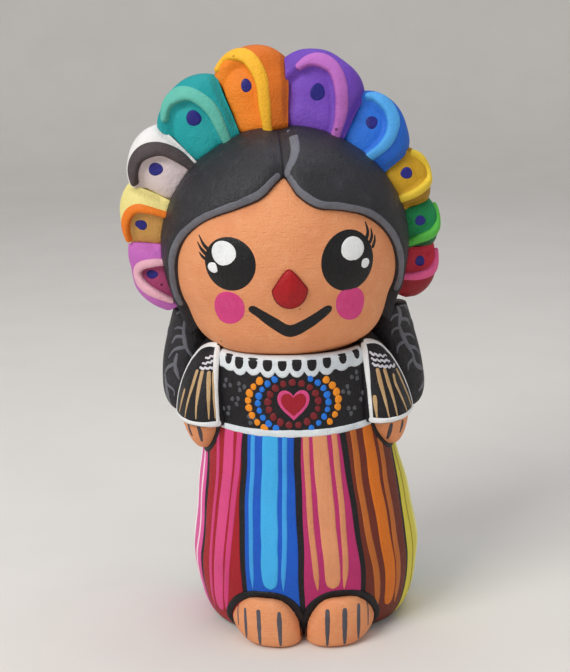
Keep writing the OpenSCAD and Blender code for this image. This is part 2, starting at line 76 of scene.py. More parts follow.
ROLL_ENDS = [-27, -4, 14, 34, 59, 86, 109, 133, 155, 176, 205]
ROLLS = ["red", "green", "gold", "blue", "purple", "orange", "teal", "white", "cream", "lilac"]
BODY_N = 2.2
JAW, JAW_START = 0.45, 0.45
COLLAR_Z = BODY_H - 3.0
FOOT_W, FOOT_H, FOOT_T, FOOT_GAP, FOOT_SHIFT = 31.5, 21.0, 9.0, 1.2, -1.7
TOE_REACH, TOE_TUCK = 5.0, 0.45
NOSE_W, NOSE_H, NOSE_T, NOSE_X, NOSE_Z = 14.6, 17.0, 3.6, -0.7, -10.0
BRAID_LOW, BRAID_H, BRAID_OUT, BRAID_RX, BRAID_RY = BODY_H - 37.0, 48.0, 58.5, 11.0, 10.5
SLEEVE_T, SLEEVE_TOP_T, SLEEVE_INNER, SLEEVE_OUTER = 11.0, 4.5, 30.0, -1.2
HAND_ANGLE, HAND_HALF, HAND_TAPER, HAND_H, HAND_T, HAND_FULL = -19.5, 18.5, 5.0, 15.3, 6.9, 2.4
HAND_TOP = 1.3  # how far a hand starts above the sleeve's hem
TOUCH = 0.1  # gap that stands in for the glue between two pieces
HAIR_BED = -0.6  # the hair's underside, inside the head's skin
UNEVEN = 0.22  # height of the hand-made unevenness on the body and hair
ON_TOP = 0.3  # how deep paint reaches below the surface that it lies on
share = math.sqrt(1 - ((HEAD[2] - HEAD_SINK) / HEAD[2]) ** 2)
COLLAR_W = 2 * (HEAD[0] * share + WALL + COLLAR_GAP)
COLLAR_D = 2 * (HEAD[1] * share + WALL + COLLAR_GAP)
HEM_Z, SHOULDER_Z = BODY_H - 33.0, BODY_H + 1.0
DRAWN_H = 128.0  # body height for which the marks on the blouse are drawn
SIDES = ((1, "left"), (-1, "right"))
rng = np.random.default_rng(11)

# ---- curves


def lerp(a, b, t):
    return a + (b - a) * t


def ease(t):
    s = np.clip(t, 0, 1)
    return s * s * (3 - 2 * s)


def unit(v):
    return v / np.maximum(1e-9, np.linalg.norm(v, axis=-1, keepdims=True))


def spow(x, p):
    return np.sign(x) * np.abs(x) ** p


def dome(u, n=2.4):
    return np.maximum(0, 1 - np.minimum(1, np.abs(u)) ** n) ** (1 / n)


def curve(knots, x, c=1):
    """Smooth curve through knots, the same cubic as the CAD source uses."""
    k = np.asarray(knots, float)
    x = np.asarray(x, float)
    slope = np.empty(len(k))
    for i in range(len(k)):
        a, b = max(0, i - 1), min(len(k) - 1, i + 1)
        slope[i] = (k[b, c] - k[a, c]) / (k[b, 0] - k[a, 0])
    i = np.clip(np.searchsorted(k[:, 0], x, side="right") - 1, 0, len(k) - 2)
    h = k[i + 1, 0] - k[i, 0]
    t = np.clip((x - k[i, 0]) / h, 0, 1)
    return ((2 * t**3 - 3 * t**2 + 1) * k[i, c] + (t**3 - 2 * t**2 + t) * h * slope[i]
            + (3 * t**2 - 2 * t**3) * k[i + 1, c] + (t**3 - t**2) * h * slope[i + 1])


def rad(a):
    return np.asarray(a, float) * (math.pi / 180)


WAVES = [(rng.normal(size=(3,)), rng.uniform(0, 2 * math.pi)) for _ in range(24)]


def wobble(p, size, amount):
    """Soft hand-made unevenness: a few random waves, size apart, amount high."""
    p = np.asarray(p, float)
    total = np.zeros(p.shape[:-1])
    for k, phase in WAVES:
        total += np.sin(p @ (k * 2.2 / size) + phase)
    return amount * total / math.sqrt(len(WAVES) / 2)


# ---- surfaces of the CAD source


def body_size(z, base, skirt, waist, chest, collar):
    z = np.asarray(z, float)
    low = base + (skirt - base) * np.sqrt(np.maximum(0, 1 - ((SKIRT_Z - np.minimum(z, SKIRT_Z)) / SKIRT_Z) ** 2))
    high = curve([[SKIRT_Z - 12, skirt - 1], [SKIRT_Z, skirt],
                  [lerp(SKIRT_Z, WAIST_Z, 0.5), lerp(skirt, waist, 0.42)], [WAIST_Z, waist],
                  [CHEST_Z, chest], [BODY_H, collar]], np.maximum(z, SKIRT_Z))
    return np.where(z <= SKIRT_Z, low, high)


def body_rx(z):
    return body_size(z, BASE_W, SKIRT_W, WAIST_W, CHEST_W, COLLAR_W) / 2


def body_ry(z):
    return body_size(z, BASE_D, SKIRT_D, WAIST_D, CHEST_D, COLLAR_D) / 2


def body_mid(z):
    t = ease((np.asarray(z, float) - SKIRT_Z) / (BODY_H - SKIRT_Z))
    return LEAN * t, LEAN_Y * t


def body_pt(a, z, off=0.0):
    a, z, off = np.broadcast_arrays(np.asarray(a, float), np.asarray(z, float), np.asarray(off, float))
    mx, my = body_mid(z)
    return np.stack([mx + (body_rx(z) + off) * spow(np.cos(rad(a)), 2 / BODY_N),
                     my + (body_ry(z) + off) * spow(np.sin(rad(a)), 2 / BODY_N), z], -1)


def body_angle(x, z, off=0.0):
    s = np.clip(np.abs(x) / (body_rx(z) + off), 0, 1)
    a = np.degrees(np.arccos(s ** (BODY_N / 2)))
    return np.where(np.asarray(x) < 0, a - 180, -a)


def jaw(up):
    """How much fuller than an ellipsoid the head is, up being its height from -1 at the chin to 1."""
    return 1 + JAW * np.clip((-np.asarray(up, float) - JAW_START) / (1 - JAW_START), 0, 1) ** 1.6


def head_pt(a, p, off=0.0):
    a, p, off = np.broadcast_arrays(rad(a), rad(p), np.asarray(off, float))
    full = jaw(np.sin(p) * np.sin(a))
    return np.stack([(HEAD[0] + off) * np.sin(p) * np.cos(a) * full, -(HEAD[1] + off) * np.cos(p) * full,
                     (HEAD[2] + off) * np.sin(p) * np.sin(a)], -1)


def head_reach(a, y, off=0.0):
    a = rad(a)
    return (np.sqrt(np.maximum(0, 1 - (y / (HEAD[1] + off)) ** 2))
            / np.sqrt((np.cos(a) / (HEAD[0] + off)) ** 2 + (np.sin(a) / (HEAD[2] + off)) ** 2))


HAIRLINES = {
    -1: [[90, 45], [106, 36.5], [121, 36], [137, 40.5], [156, 52], [167, 60], [177, 66], [188, 70.5], [198, 76],
         [212, 84], [225, 88]],
    1: [[90, 45], [100, 34.5], [120, 30.8], [139, 37.5], [154, 47], [165, 53.8], [176, 60.5], [186, 66.5],
        [196, 73], [209, 84], [225, 88]],
}


def hairline(a, side):
    """Angle from straight ahead at which the hair starts, going round from the parting at 90 to the jaw."""
    return curve(HAIRLINES[side], a)


ON_NECK = (Matrix.Translation((LEAN, LEAN_Y, BODY_H)) @ Matrix.Rotation(math.radians(-HEAD_TILT), 4, "Y")
           @ Matrix.Rotation(math.radians(HEAD_TURN), 4, "Z") @ Matrix.Translation((0, 0, HEAD_C - BODY_H)))
NECK = np.array(ON_NECK)


def on_neck(p):
    p = np.asarray(p, float)
    return p @ NECK[:3, :3].T + NECK[:3, 3]


def to_head(p):
    return (np.asarray(p, float) - NECK[:3, 3]) @ NECK[:3, :3]


def crest(a):
    a = np.asarray(a, float)
    rx = HEAD[0] + HAIR_T + ROLL_SIDE + ROLL_SWELL * np.maximum(0, np.sin(rad(2 * np.clip((a - 95) / 90, 0, 1) * 90)))
    rz = np.where(np.sin(rad(a)) < 0, HEAD[2] + HAIR_T + ROLL_SIDE, HEAD[2] + HAIR_T + ROLL_TOP)
    return 1 / np.sqrt((np.cos(rad(a)) / rx) ** 2 + (np.sin(rad(a)) / rz) ** 2)


def dip_share(i):
    return 1.25 if i in (0, 10) else float(lerp(0.35, 1.1, ease(math.sin(math.radians(ROLL_ENDS[i])))))


def roll_angle(i, u):
    return lerp(ROLL_ENDS[i], ROLL_ENDS[i + 1], (np.asarray(u, float) + 1) / 2)


def roll_top(i, u):
    dips = np.where(np.asarray(u) < 0, dip_share(i), dip_share(i + 1))
    return crest(roll_angle(i, u)) - ROLL_DIP * dips * np.abs(u) ** 2.2


def roll_pt(i, u, v):
    """Across and up roll i: v is 0 at its front foot, 1 on its crest, 2 at its back foot."""
    u, v = np.broadcast_arrays(np.asarray(u, float), np.asarray(v, float))
    a = roll_angle(i, u)
    half = ROLL_D / 2 * (1 - 0.2 * np.abs(u) ** 2.2)
    y = ROLL_Y - half * spow(np.cos(rad(90 * v)), 2 / ROLL_N)
    foot = head_reach(a, y, HAIR_T) + ROLL_FOOT
    r = lerp(foot, roll_top(i, u), spow(np.sin(rad(90 * v)), 2 / ROLL_N))
    return np.stack([r * np.cos(rad(a)), y, r * np.sin(rad(a))], -1)


# ---- meshes


def finish_mesh(name, part, *mats, face_mats=None):
    """Mesh object from points in mm and faces; it rides on the one body."""
    verts, faces = part
    mesh = bpy.data.meshes.new(name)
    mesh.from_pydata([tuple(v) for v in np.asarray(verts, float) * MM], [],
                     [tuple(int(i) for i in f) for f in faces])
    for m in mats:
        mesh.materials.append(m)
    if face_mats is not None:
        mesh.polygons.foreach_set("material_index", np.asarray(face_mats, np.int32))
    mesh.polygons.foreach_set("use_smooth", [True] * len(mesh.polygons))
    mesh.validate()
    mesh.update()
    ob = bpy.data.objects.new(name, mesh)
    bpy.context.scene.collection.objects.link(ob)
    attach(ob, "root")
    return ob


def grid_faces(rows, cols, start=0, wrap=False, flip=False):
    faces = []
    last = cols if wrap else cols - 1
    for r in range(rows - 1):
        for c in range(last):
            a, b = start + r * cols + c, start + r * cols + (c + 1) % cols
            f = (a, b, b + cols, a + cols)
            faces.append(f[::-1] if flip else f)
    return faces


def slab(outer, inner):
    """Closed solid between two grids of points: (points, faces)."""
    rows, cols = outer.shape[:2]
    n = rows * cols
    faces = grid_faces(rows, cols) + grid_faces(rows, cols, n, flip=True)
    for c in range(cols - 1):
        faces.append((c + 1, c, n + c, n + c + 1))
        q = (rows - 1) * cols + c
        faces.append((q, q + 1, n + q + 1, n + q))
    for r in range(rows - 1):
        q = r * cols
        faces.append((q, q + cols, n + q + cols, n + q))
        q += cols - 1
        faces.append((q + cols, q, n + q, n + q + cols))
    return np.concatenate([outer.reshape(-1, 3), inner.reshape(-1, 3)]), faces


def tube(first, rings, last):
    """Closed solid through closed rings, with a point at either end."""
    rings = np.asarray(rings, float)
    m, n = rings.shape[:2]
    faces = grid_faces(m, n, wrap=True)
    faces += [(m * n, (j + 1) % n, j) for j in range(n)]
    faces += [(m * n + 1, (m - 1) * n + j, (m - 1) * n + (j + 1) % n) for j in range(n)]
    return np.concatenate([rings.reshape(-1, 3), [first], [last]]), faces


def outward(verts, faces):
    """Faces turned so that the solid's volume is positive."""
    v = np.asarray(verts, float)
    tri = np.array([(q[0], q[k], q[k + 1]) for q in faces for k in range(1, len(q) - 1)])
    a, b, c = v[tri[:, 0]], v[tri[:, 1]], v[tri[:, 2]]
    return faces if (a * np.cross(b, c)).sum() > 0 else [tuple(reversed(f)) for f in faces]


def solid(part, place=None):
    """A closed solid laid in place, with its faces turned outward."""
    v, f = part
    v = place(v) if place else v
    return v, outward(v, f)


def join(parts):
    verts, faces, n = [], [], 0
    for v, f in parts:
        verts.append(np.asarray(v, float))
        faces += [tuple(i + n for i in q) for q in f]
        n += len(v)
    return np.concatenate(verts), faces


# ---- materials


def srgb(code):
    """Linear colour of a six-figure hex code."""
    c = np.array([int(code[i:i + 2], 16) / 255 for i in (0, 2, 4)])
    return np.where(c <= 0.04045, c / 12.92, ((c + 0.055) / 1.055) ** 2.4)


class Nodes:
    """Short names for building a material's nodes."""

    def __init__(self, name):
        self.mat = bpy.data.materials.new(name)
        self.mat.use_nodes = True
        self.tree = self.mat.node_tree
        self.shader = self.tree.nodes["Principled BSDF"]
        self.coord = self.tree.nodes.new("ShaderNodeTexCoord")

    def link(self, a, b):
        self.tree.links.new(a, b)

    def node(self, kind, **values):
        n = self.tree.nodes.new("ShaderNode" + kind)
        for socket, value in values.items():
            n.inputs[socket.replace("_", " ")].default_value = value
        return n

    def mapped(self, scale, turn=(0, 0, 0)):
        n = self.node("Mapping", Scale=scale if isinstance(scale, tuple) else (scale,) * 3, Rotation=turn)
        self.link(self.coord.outputs["Object"], n.inputs["Vector"])
        return n.outputs["Vector"]

    def noise(self, scale, detail=3.0, rough=0.5, vector=None, warp=0.0):
        n = self.node("TexNoise", Scale=1.0, Detail=detail, Roughness=rough, Distortion=warp)
        self.link(vector or self.mapped(scale), n.inputs["Vector"])
        return n.outputs["Fac"]

    def cells(self, scale):
        n = self.node("TexVoronoi", Scale=1.0)
        self.link(self.mapped(scale), n.inputs["Vector"])
        return n.outputs["Distance"], n.outputs["Color"]

    def ramp(self, fac, low, high, a=0.0, b=1.0):
        n = self.node("MapRange", From_Min=low, From_Max=high, To_Min=a, To_Max=b)
        n.interpolation_type = "SMOOTHSTEP"
        self.link(fac, n.inputs["Value"])
        return n.outputs["Result"]

    def math(self, op, a, b=None):
        n = self.node("Math")
        n.operation = op
        for k, x in enumerate((a, b)):
            if isinstance(x, (int, float)):
                n.inputs[k].default_value = x
            elif x is not None:
                self.link(x, n.inputs[k])
        return n.outputs[0]

    def mix(self, fac, a, b):
        n = self.node("Mix")
        n.data_type = "RGBA"
        for socket, x in ((n.inputs[0], fac), (n.inputs[6], a), (n.inputs[7], b)):
            if isinstance(x, bpy.types.NodeSocket):
                self.link(x, socket)
            elif isinstance(x, (int, float)):
                socket.default_value = x
            else:
                socket.default_value = (*[float(c) for c in x], 1.0)
        return n.outputs[2]

    def bump(self, height, strength, distance, after=None):
        n = self.node("Bump", Strength=strength, Distance=distance)
        self.link(height, n.inputs["Height"])
        if after is not None:
            self.link(after, n.inputs["Normal"])
        return n.outputs["Normal"]


materials = {}


def paint(name, code, deep=None, pale=None, streak=(700, 700, 90), rough=0.56, pits=0.0, grain=1.0, mottle=1.0):
    """Matte acrylic brushed over paper pulp: uneven coats, brush marks, fine grain and a few pinholes."""
    if name in materials:
        return materials[name]
    base = srgb(code)
    deep = srgb(deep) if deep else base * 0.78
    pale = srgb(pale) if pale else base * 0.9 + 0.1 * np.sqrt(np.clip(base, 0, 1)) * 0.9
    n = Nodes(name)
    coats = n.noise(55, 4.0, 0.55)
    blotch = n.noise(210, 3.0, 0.6, warp=0.4)
    marks = n.noise(1, 3.0, 0.55, vector=n.mapped(streak, (0.2, 0.35, 0.1)))
    colour = n.mix(n.ramp(coats, 0.42, 0.75, 0.0, 0.5 * mottle), base, deep)
    colour = n.mix(n.ramp(blotch, 0.48, 0.8, 0.0, 0.42 * mottle), colour, pale)
    colour = n.mix(n.ramp(marks, 0.52, 0.8, 0.0, 0.3), colour, deep)
    pulp = n.noise(900, 5.0, 0.62)
    lumps = n.noise(160, 2.0, 0.5)
    peel = n.noise(1250, 1.5, 0.5)
    normal = n.bump(lumps, 0.4, 0.0009)
    normal = n.bump(marks, 0.6, 0.00045 * grain, normal)
    normal = n.bump(peel, 0.6, 0.00045 * grain, normal)
    normal = n.bump(pulp, 0.5, 0.0003 * grain, normal)
    if pits > 0:
        near, colour_of_cell = n.cells(120)
        split = n.node("SeparateColor")
        n.link(colour_of_cell, split.inputs[0])
        rare = n.ramp(split.outputs[0], 1 - pits, 1 - pits + 0.02)
        pit = n.math("MULTIPLY", n.ramp(near, 0.05, 0.1, 1.0, 0.0), rare)
        colour = n.mix(n.math("MULTIPLY", pit, 0.75), colour, base * 0.18)
        normal = n.bump(n.math("MULTIPLY", pit, -1.0), 0.8, 0.0006, normal)
    n.link(colour, n.shader.inputs["Base Color"])
    n.link(normal, n.shader.inputs["Normal"])
    n.link(n.ramp(pulp, 0.3, 0.75, rough - 0.07, rough + 0.12), n.shader.inputs["Roughness"])
    n.shader.inputs["Specular IOR Level"].default_value = 0.3
    materials[name] = n.mat
    return n.mat


def raw_paper(name, code, fibre):
    """Unpainted card or kraft paper: fibres, flecks and a dull surface."""
    n = Nodes(name)
    base = srgb(code)
    strands = n.noise(1, 4.0, 0.7, vector=n.mapped((1500, 260, 1500), (0.3, 0.2, 0.9)))
    flecks = n.noise(650, 2.0, 0.5)
    colour = n.mix(n.ramp(strands, 0.4, 0.75, 0.0, 0.6), base, srgb(fibre))
    colour = n.mix(n.ramp(flecks, 0.66, 0.78, 0.0, 0.5), colour, base * 0.45)
    n.link(colour, n.shader.inputs["Base Color"])
    n.link(n.bump(strands, 0.5, 0.0002), n.shader.inputs["Normal"])
    n.link(n.ramp(flecks, 0.2, 0.8, 0.78, 0.92), n.shader.inputs["Roughness"])
    n.shader.inputs["Specular IOR Level"].default_value = 0.25
    return n.mat


# ---- body, head and hair

charcoal = paint("black_acrylic", "18161a", "0f0e11", "2c2a2f", rough=0.5)
skin = paint("peach_acrylic", "e79a69", "d98455", "f0ad80", streak=(220, 220, 1500), pits=0.05, rough=0.6, grain=1.2)
hair_black = paint("hair_acrylic", "2b2a2e", "1b1a1d", "434248", streak=(500, 500, 120), rough=0.5)
kraft = raw_paper("kraft_paper", "c9b48f", "a88c62")
card = raw_paper("grey_card", "b79a6d", "d0b98f")


def body_rings():
    a = np.linspace(0, 360, 181)[:-1]
    low = SKIRT_Z * (1 - np.cos(np.linspace(0, math.pi / 2, 26)))
    high = np.linspace(SKIRT_Z, COLLAR_Z - 0.6, 74)[1:]
    outer = [body_pt(a, z) for z in np.concatenate([low, high])]
    for k, (dz, off) in enumerate([(-0.1, -0.25), (0.35, -0.9), (0.75, -2.0), (1.0, -3.6), (1.1, -6.5), (1.1, -14)]):
        p = body_pt(a, COLLAR_Z - 0.5, off)
        p[:, 2] = COLLAR_Z + dz
        outer.append(p)
    outer = np.array(outer)
    centre = outer.mean(1, keepdims=True)
    n = unit((outer - centre) * [1, 1, 0])
    fade = np.clip(outer[..., 2:3] / 6, 0, 1) * np.clip((COLLAR_Z + 0.2 - outer[..., 2:3]) / 3, 0, 1)
    outer += n * wobble(outer, 17, UNEVEN)[..., None] * fade
    heights = np.concatenate([low[::3], np.linspace(SKIRT_Z, COLLAR_Z - 4, 24)[1:]])
    return outer, np.array([body_pt(a, z, -WALL) for z in heights])


outer, inner = body_rings()
body_part = solid(tube(outer[-1].mean(0), np.concatenate([outer[::-1], inner]), inner[-1].mean(0)))
body = finish_mesh("body_paper_shell", body_part, charcoal)
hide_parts("body_front_shell", "body_back_shell")


def ball(off, wave=0.0, n_a=200, n_p=110):
    a = np.linspace(0, 360, n_a + 1)[:-1]
    p = np.linspace(0, 180, n_p + 1)[1:-1]
    pts = head_pt(a[None, :], p[:, None], off)
    pts = pts + unit(pts / HEAD**2) * wobble(pts, 19, wave)[..., None]
    return solid(tube(head_pt(0, 0, off), pts, head_pt(0, 180, off)))


ball_out = ball(0.0, 0.2)
in_v, in_f = ball(-WALL, 0.0, 60, 36)
head_v, head_f = join([ball_out, (in_v, [tuple(reversed(q)) for q in in_f])])
head = finish_mesh("head_paper_shell", (on_neck(head_v), head_f), skin)
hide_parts("head_front_shell", "head_back_shell")


def swag_grid(side):
    a = 90 + (90 + HAIR_DROP) * np.linspace(0, 1, 111)
    k = np.linspace(0, 1, 61) ** 1.35
    A, K = np.meshgrid(a, k, indexing="ij")
    P = lerp(hairline(A, side), 90.0, K)
    puff = lerp(0.5, HAIR_T, dome(np.clip(1 - K / 0.2, 0, 1), 2.0))
    groove = lerp(0.62, 1.0, ease((A - 90) / 9.0))
    off = puff * groove
    outer = head_pt(A, P, off)
    inner = head_pt(A, P, HAIR_BED)
    outer = outer + unit(outer) * (wobble(outer, 16, UNEVEN) * np.minimum(1, (off / HAIR_T)))[..., None]
    if side > 0:
        outer, inner = outer * [-1, 1, 1], inner * [-1, 1, 1]
    return outer, inner


hair_parts = []
for side, name in SIDES:
    part = solid(slab(*swag_grid(side)), on_neck)
    hair_parts.append(part)
    ob = finish_mesh("hair_swag_paper_" + name, part, hair_black)
    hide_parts("hair_swag_" + name)


def back_hair():
    corner = 180 + HAIR_DROP
    a = np.concatenate([np.linspace(-HAIR_DROP, corner, 136), [corner + 0.5, corner + 1.5, corner + 4],
                        np.linspace(corner + 9, 531 - corner, 40), [536 - corner, 538.5 - corner, 539.5 - corner]])
    s = np.sin(rad(a))
    low = s < -math.sin(math.radians(HAIR_DROP)) - 1e-9
    start = np.full(a.shape, 90.0)
    start[low] = 180 - np.degrees(np.arcsin(np.clip(math.sin(math.radians(HAIR_DROP)) / np.abs(s[low]), -1, 1)))
    k = np.linspace(0, 0.985, 60)
    P = start[None, :] + (180 - start[None, :]) * k[:, None]
    A = np.broadcast_to(a[None, :], P.shape)
    lip = np.where(low[None, :], lerp(0.45, 1.0, dome(np.clip(1 - k[:, None] / 0.08, 0, 1), 2.0)), 1.0)
    outer = head_pt(A, P, HAIR_T * lip)
    outer = outer + unit(outer) * (wobble(outer, 16, UNEVEN) * np.minimum(1, lip))[..., None]
    inner = head_pt(A, P, HAIR_BED)
    rings = np.concatenate([outer[::-1], inner])
    return solid(tube(head_pt(0, 180, HAIR_T), rings, head_pt(0, 180, HAIR_BED)), on_neck)


hair_parts.append(back_hair())
ob = finish_mesh("hair_back_paper", hair_parts[-1], hair_black)
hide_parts("hair_back")

# ---- headdress

# the raised rim of each roll's bowl, from its free tip to the hair: across (-1 to 1) and up (0 to 1) the roll
RIMS = {
    "red": [(0.83, 0.9), (0.48, 0.88), (0.2, 0.68), (-0.02, 0.32), (-0.22, 0)],
    "green": [(0.7, 0.92), (0.35, 0.9), (-0.1, 0.82), (-0.42, 0.54), (-0.6, 0.2), (-0.8, -0.02)],
    "gold": [(0.9, 0.7), (0.5, 0.84), (0.05, 0.88), (-0.34, 0.76), (-0.48, 0.42), (-0.52, 0.18), (-0.5, -0.02)],
    "blue": [(0.95, 0.66), (0.7, 0.73), (0.4, 0.7), (0.07, 0.6), (-0.15, 0.46), (-0.3, 0.26), (-0.3, 0.1),
             (-0.2, -0.02)],
    "purple": [(0.78, 0.52), (0.53, 0.62), (0.25, 0.65), (-0.05, 0.6), (-0.27, 0.48), (-0.45, 0.34), (-0.6, 0.2),
               (-0.68, 0.1), (-0.75, -0.02)],
    "orange": [(0.92, 0.9), (0.6, 0.96), (0.28, 0.82), (0, 0.64), (-0.17, 0.46), (-0.26, 0.32), (-0.25, 0.18),
               (-0.22, 0.06), (-0.2, -0.02)],
    "teal": [(0.8, 0.62), (0.45, 0.74), (0.1, 0.7), (-0.22, 0.56), (-0.45, 0.38), (-0.56, 0.24), (-0.55, 0.1),
             (-0.5, -0.02)],
    "white": [(0.96, 0.6), (0.55, 0.64), (0.12, 0.6), (-0.27, 0.48), (-0.57, 0.34), (-0.72, 0.2), (-0.78, 0.08),
              (-0.78, -0.02)],
    "cream": [(0.92, 0.7), (0.38, 0.66), (-0.1, 0.52), (-0.38, 0.36), (-0.45, 0.18), (-0.45, -0.02)],
    "lilac": [(0.84, 0.03), (0.48, 0.22), (0.18, 0.42), (-0.07, 0.56), (-0.32, 0.55), (-0.47, 0.36), (-0.52, 0.1),
              (-0.5, -0.02)],
}
# how wide the rim is at its tip, arch, leg and end; how deep the bowl is; where its dot sits, and the dot's size
RIM_WIDE = [2.6, 6.6, 6.0, 5.0, 4.0]
RIM_SLIM = [2.0, 4.6, 4.4, 3.8, 3.2]
BOWLS = {
    "red": (2.6, 0.48, 0.26, 2.5, 2.2), "green": (2.6, 0.25, 0.24, 2.5, 2.3), "gold": (2.8, 0.4, 0.27, 2.6, 2.6),
    "blue": (3.0, 0.45, 0.29, 2.4, 2.8), "purple": (3.4, 0.18, 0.26, 3.0, 3.7), "orange": (3.4, 0.25, 0.33, 2.3, 2.8),
    "teal": (3.4, 0.07, 0.29, 3.3, 3.2), "white": (3.2, 0.15, 0.27, 3.1, 2.8), "cream": (2.6, 0.25, 0.3, 2.6, 2.3),
    "lilac": (2.4, -0.16, 0.22, 2.7, 1.9),
}
# shell, bowl, coil; on the red, green, gold, blue, purple, orange and teal rolls the shell colour is a darker copy of
# the bowl colour: painted shade on the shell
ROLL_PAINT = {
    "red": ("8e1a24", "c2253a", "e0568c"), "green": ("0b6132", "12834a", "56bb45"),
    "gold": ("a97c12", "c99a1c", "ecc93a"), "blue": ("1f66cc", "2a74dc", "4fa6ea"),
    "purple": ("6f43b5", "7a4cc0", "bb6cc2"), "orange": ("d96f1c", "f4861f", "f5b62c"),
    "teal": ("12999c", "1ba3a6", "5fb9a8"), "white": ("e9e6e4", "d9c9cb", "4a4143"),
    "cream": ("efe08f", "c9974f", "f07d1c"), "lilac": ("c468bd", "a8406f", "e9b0c0"),
}


def rim_uv(i, s):
    path = RIMS[ROLLS[i]]
    knots = [[k / (len(path) - 1), u, v] for k, (u, v) in enumerate(path)]
    return curve(knots, s, 1), curve(knots, s, 2)


def rim_width(i, s):
    wide = RIM_WIDE if 3 <= i <= 7 else RIM_SLIM
    return curve([[0, wide[0]], [0.22, wide[1]], [0.5, wide[2]], [0.8, wide[3]], [1, wide[4]]], s)


def flat(i, u, v):
    """A point of the roll's front laid flat: along the arc, and out from the head."""
    p = roll_pt(i, u, v)
    r = np.hypot(p[..., 0], p[..., 2])
    mid = (ROLL_ENDS[i] + ROLL_ENDS[i + 1]) / 2
    return np.stack([rad(roll_angle(i, u) - mid) * r, r], -1)


def past_rim(i, u, v):
    """Distance beyond the rim's middle line, positive in the bowl that it curls round."""
    s = np.linspace(0, 1, 90)
    line = flat(i, *rim_uv(i, s))
    line = np.concatenate([[line[0] + (line[0] - line[3]) * 14], line, [line[-1] + (line[-1] - line[-4]) * 14]])
    s = np.concatenate([[0], s, [1]])
    q = flat(i, u, v)
    a, d = line[:-1], np.diff(line, axis=0)
    rel = q[..., None, :] - a
    t = np.clip((rel * d).sum(-1) / (d * d).sum(-1), 0, 1)
    gap = rel - t[..., None] * d
    dist = np.hypot(gap[..., 0], gap[..., 1])
    j = dist.argmin(-1)
    pick = [np.take_along_axis(x, j[..., None], -1)[..., 0] for x in (dist, rel[..., 0], rel[..., 1], t)]
    cross = d[j][..., 0] * pick[2] - d[j][..., 1] * pick[1]
    return np.where(cross > 0, pick[0], -pick[0]), rim_width(i, lerp(s[j], s[j + 1], pick[3])) / 2


def surface_normal(fn, u, v, eps=0.01):
    return unit(np.cross(fn(u + eps, v) - fn(u - eps, v), fn(u, v + eps) - fn(u, v - eps)))


def roll_normal(i, u, v):
    vv = np.clip(v, 0.03, 1.97)
    uu = np.clip(u, -0.97, 0.97)
    n = surface_normal(lambda a, b: roll_pt(i, a, b), uu, vv)
    p = roll_pt(i, uu, vv)
    out = p - np.stack([p[..., 0] * 0.8, np.full(p.shape[:-1], ROLL_Y), p[..., 2] * 0.8], -1)
    return n * np.where((n * out).sum(-1) < 0, -1.0, 1.0)[..., None]


def roll_skin(i, u, v):
    """The modelled surface: the plain roll with its bowl pressed in and its shell rounded out."""
    u, v = np.broadcast_arrays(np.asarray(u, float), np.asarray(v, float))
    p, n = roll_pt(i, u, v), roll_normal(i, u, v)
    side, half = past_rim(i, u, v)
    deep = BOWLS[ROLLS[i]][0]
    front = ease((1.0 - v) / 0.2)
    bowl = deep * ease((side - half + 2.2) / 3.6) * front * lerp(0.7, 1.0, ease(v / 0.25))
    shell = 0.6 * ease((1.2 - side) / 1.5) * front
    fall = 1.7 * ease((-u - 0.78) / 0.22) * ease(v / 0.1) * front
    q = p + n * (shell - bowl + wobble(p + 40 * i, 9, 0.2) * ease(v / 0.1) * ease((2 - v) / 0.1))[..., None]
    return q + fall[..., None] * np.array([0, 1.0, 0])


# section of the rim: across in half widths (the bowl is on the + side), and height in mm
RIM_SECTION = [(-0.96, -1.2), (-1.0, 0.1), (-0.97, 0.62), (-0.84, 1.05), (-0.6, 1.35), (-0.3, 1.5), (0.05, 1.52),
               (0.38, 1.42), (0.66, 1.12), (0.86, 0.6), (0.97, -0.1), (1.0, -1.1), (0.97, -2.4), (0.7, -3.6),
               (0.0, -3.2), (-0.6, -2.2)]

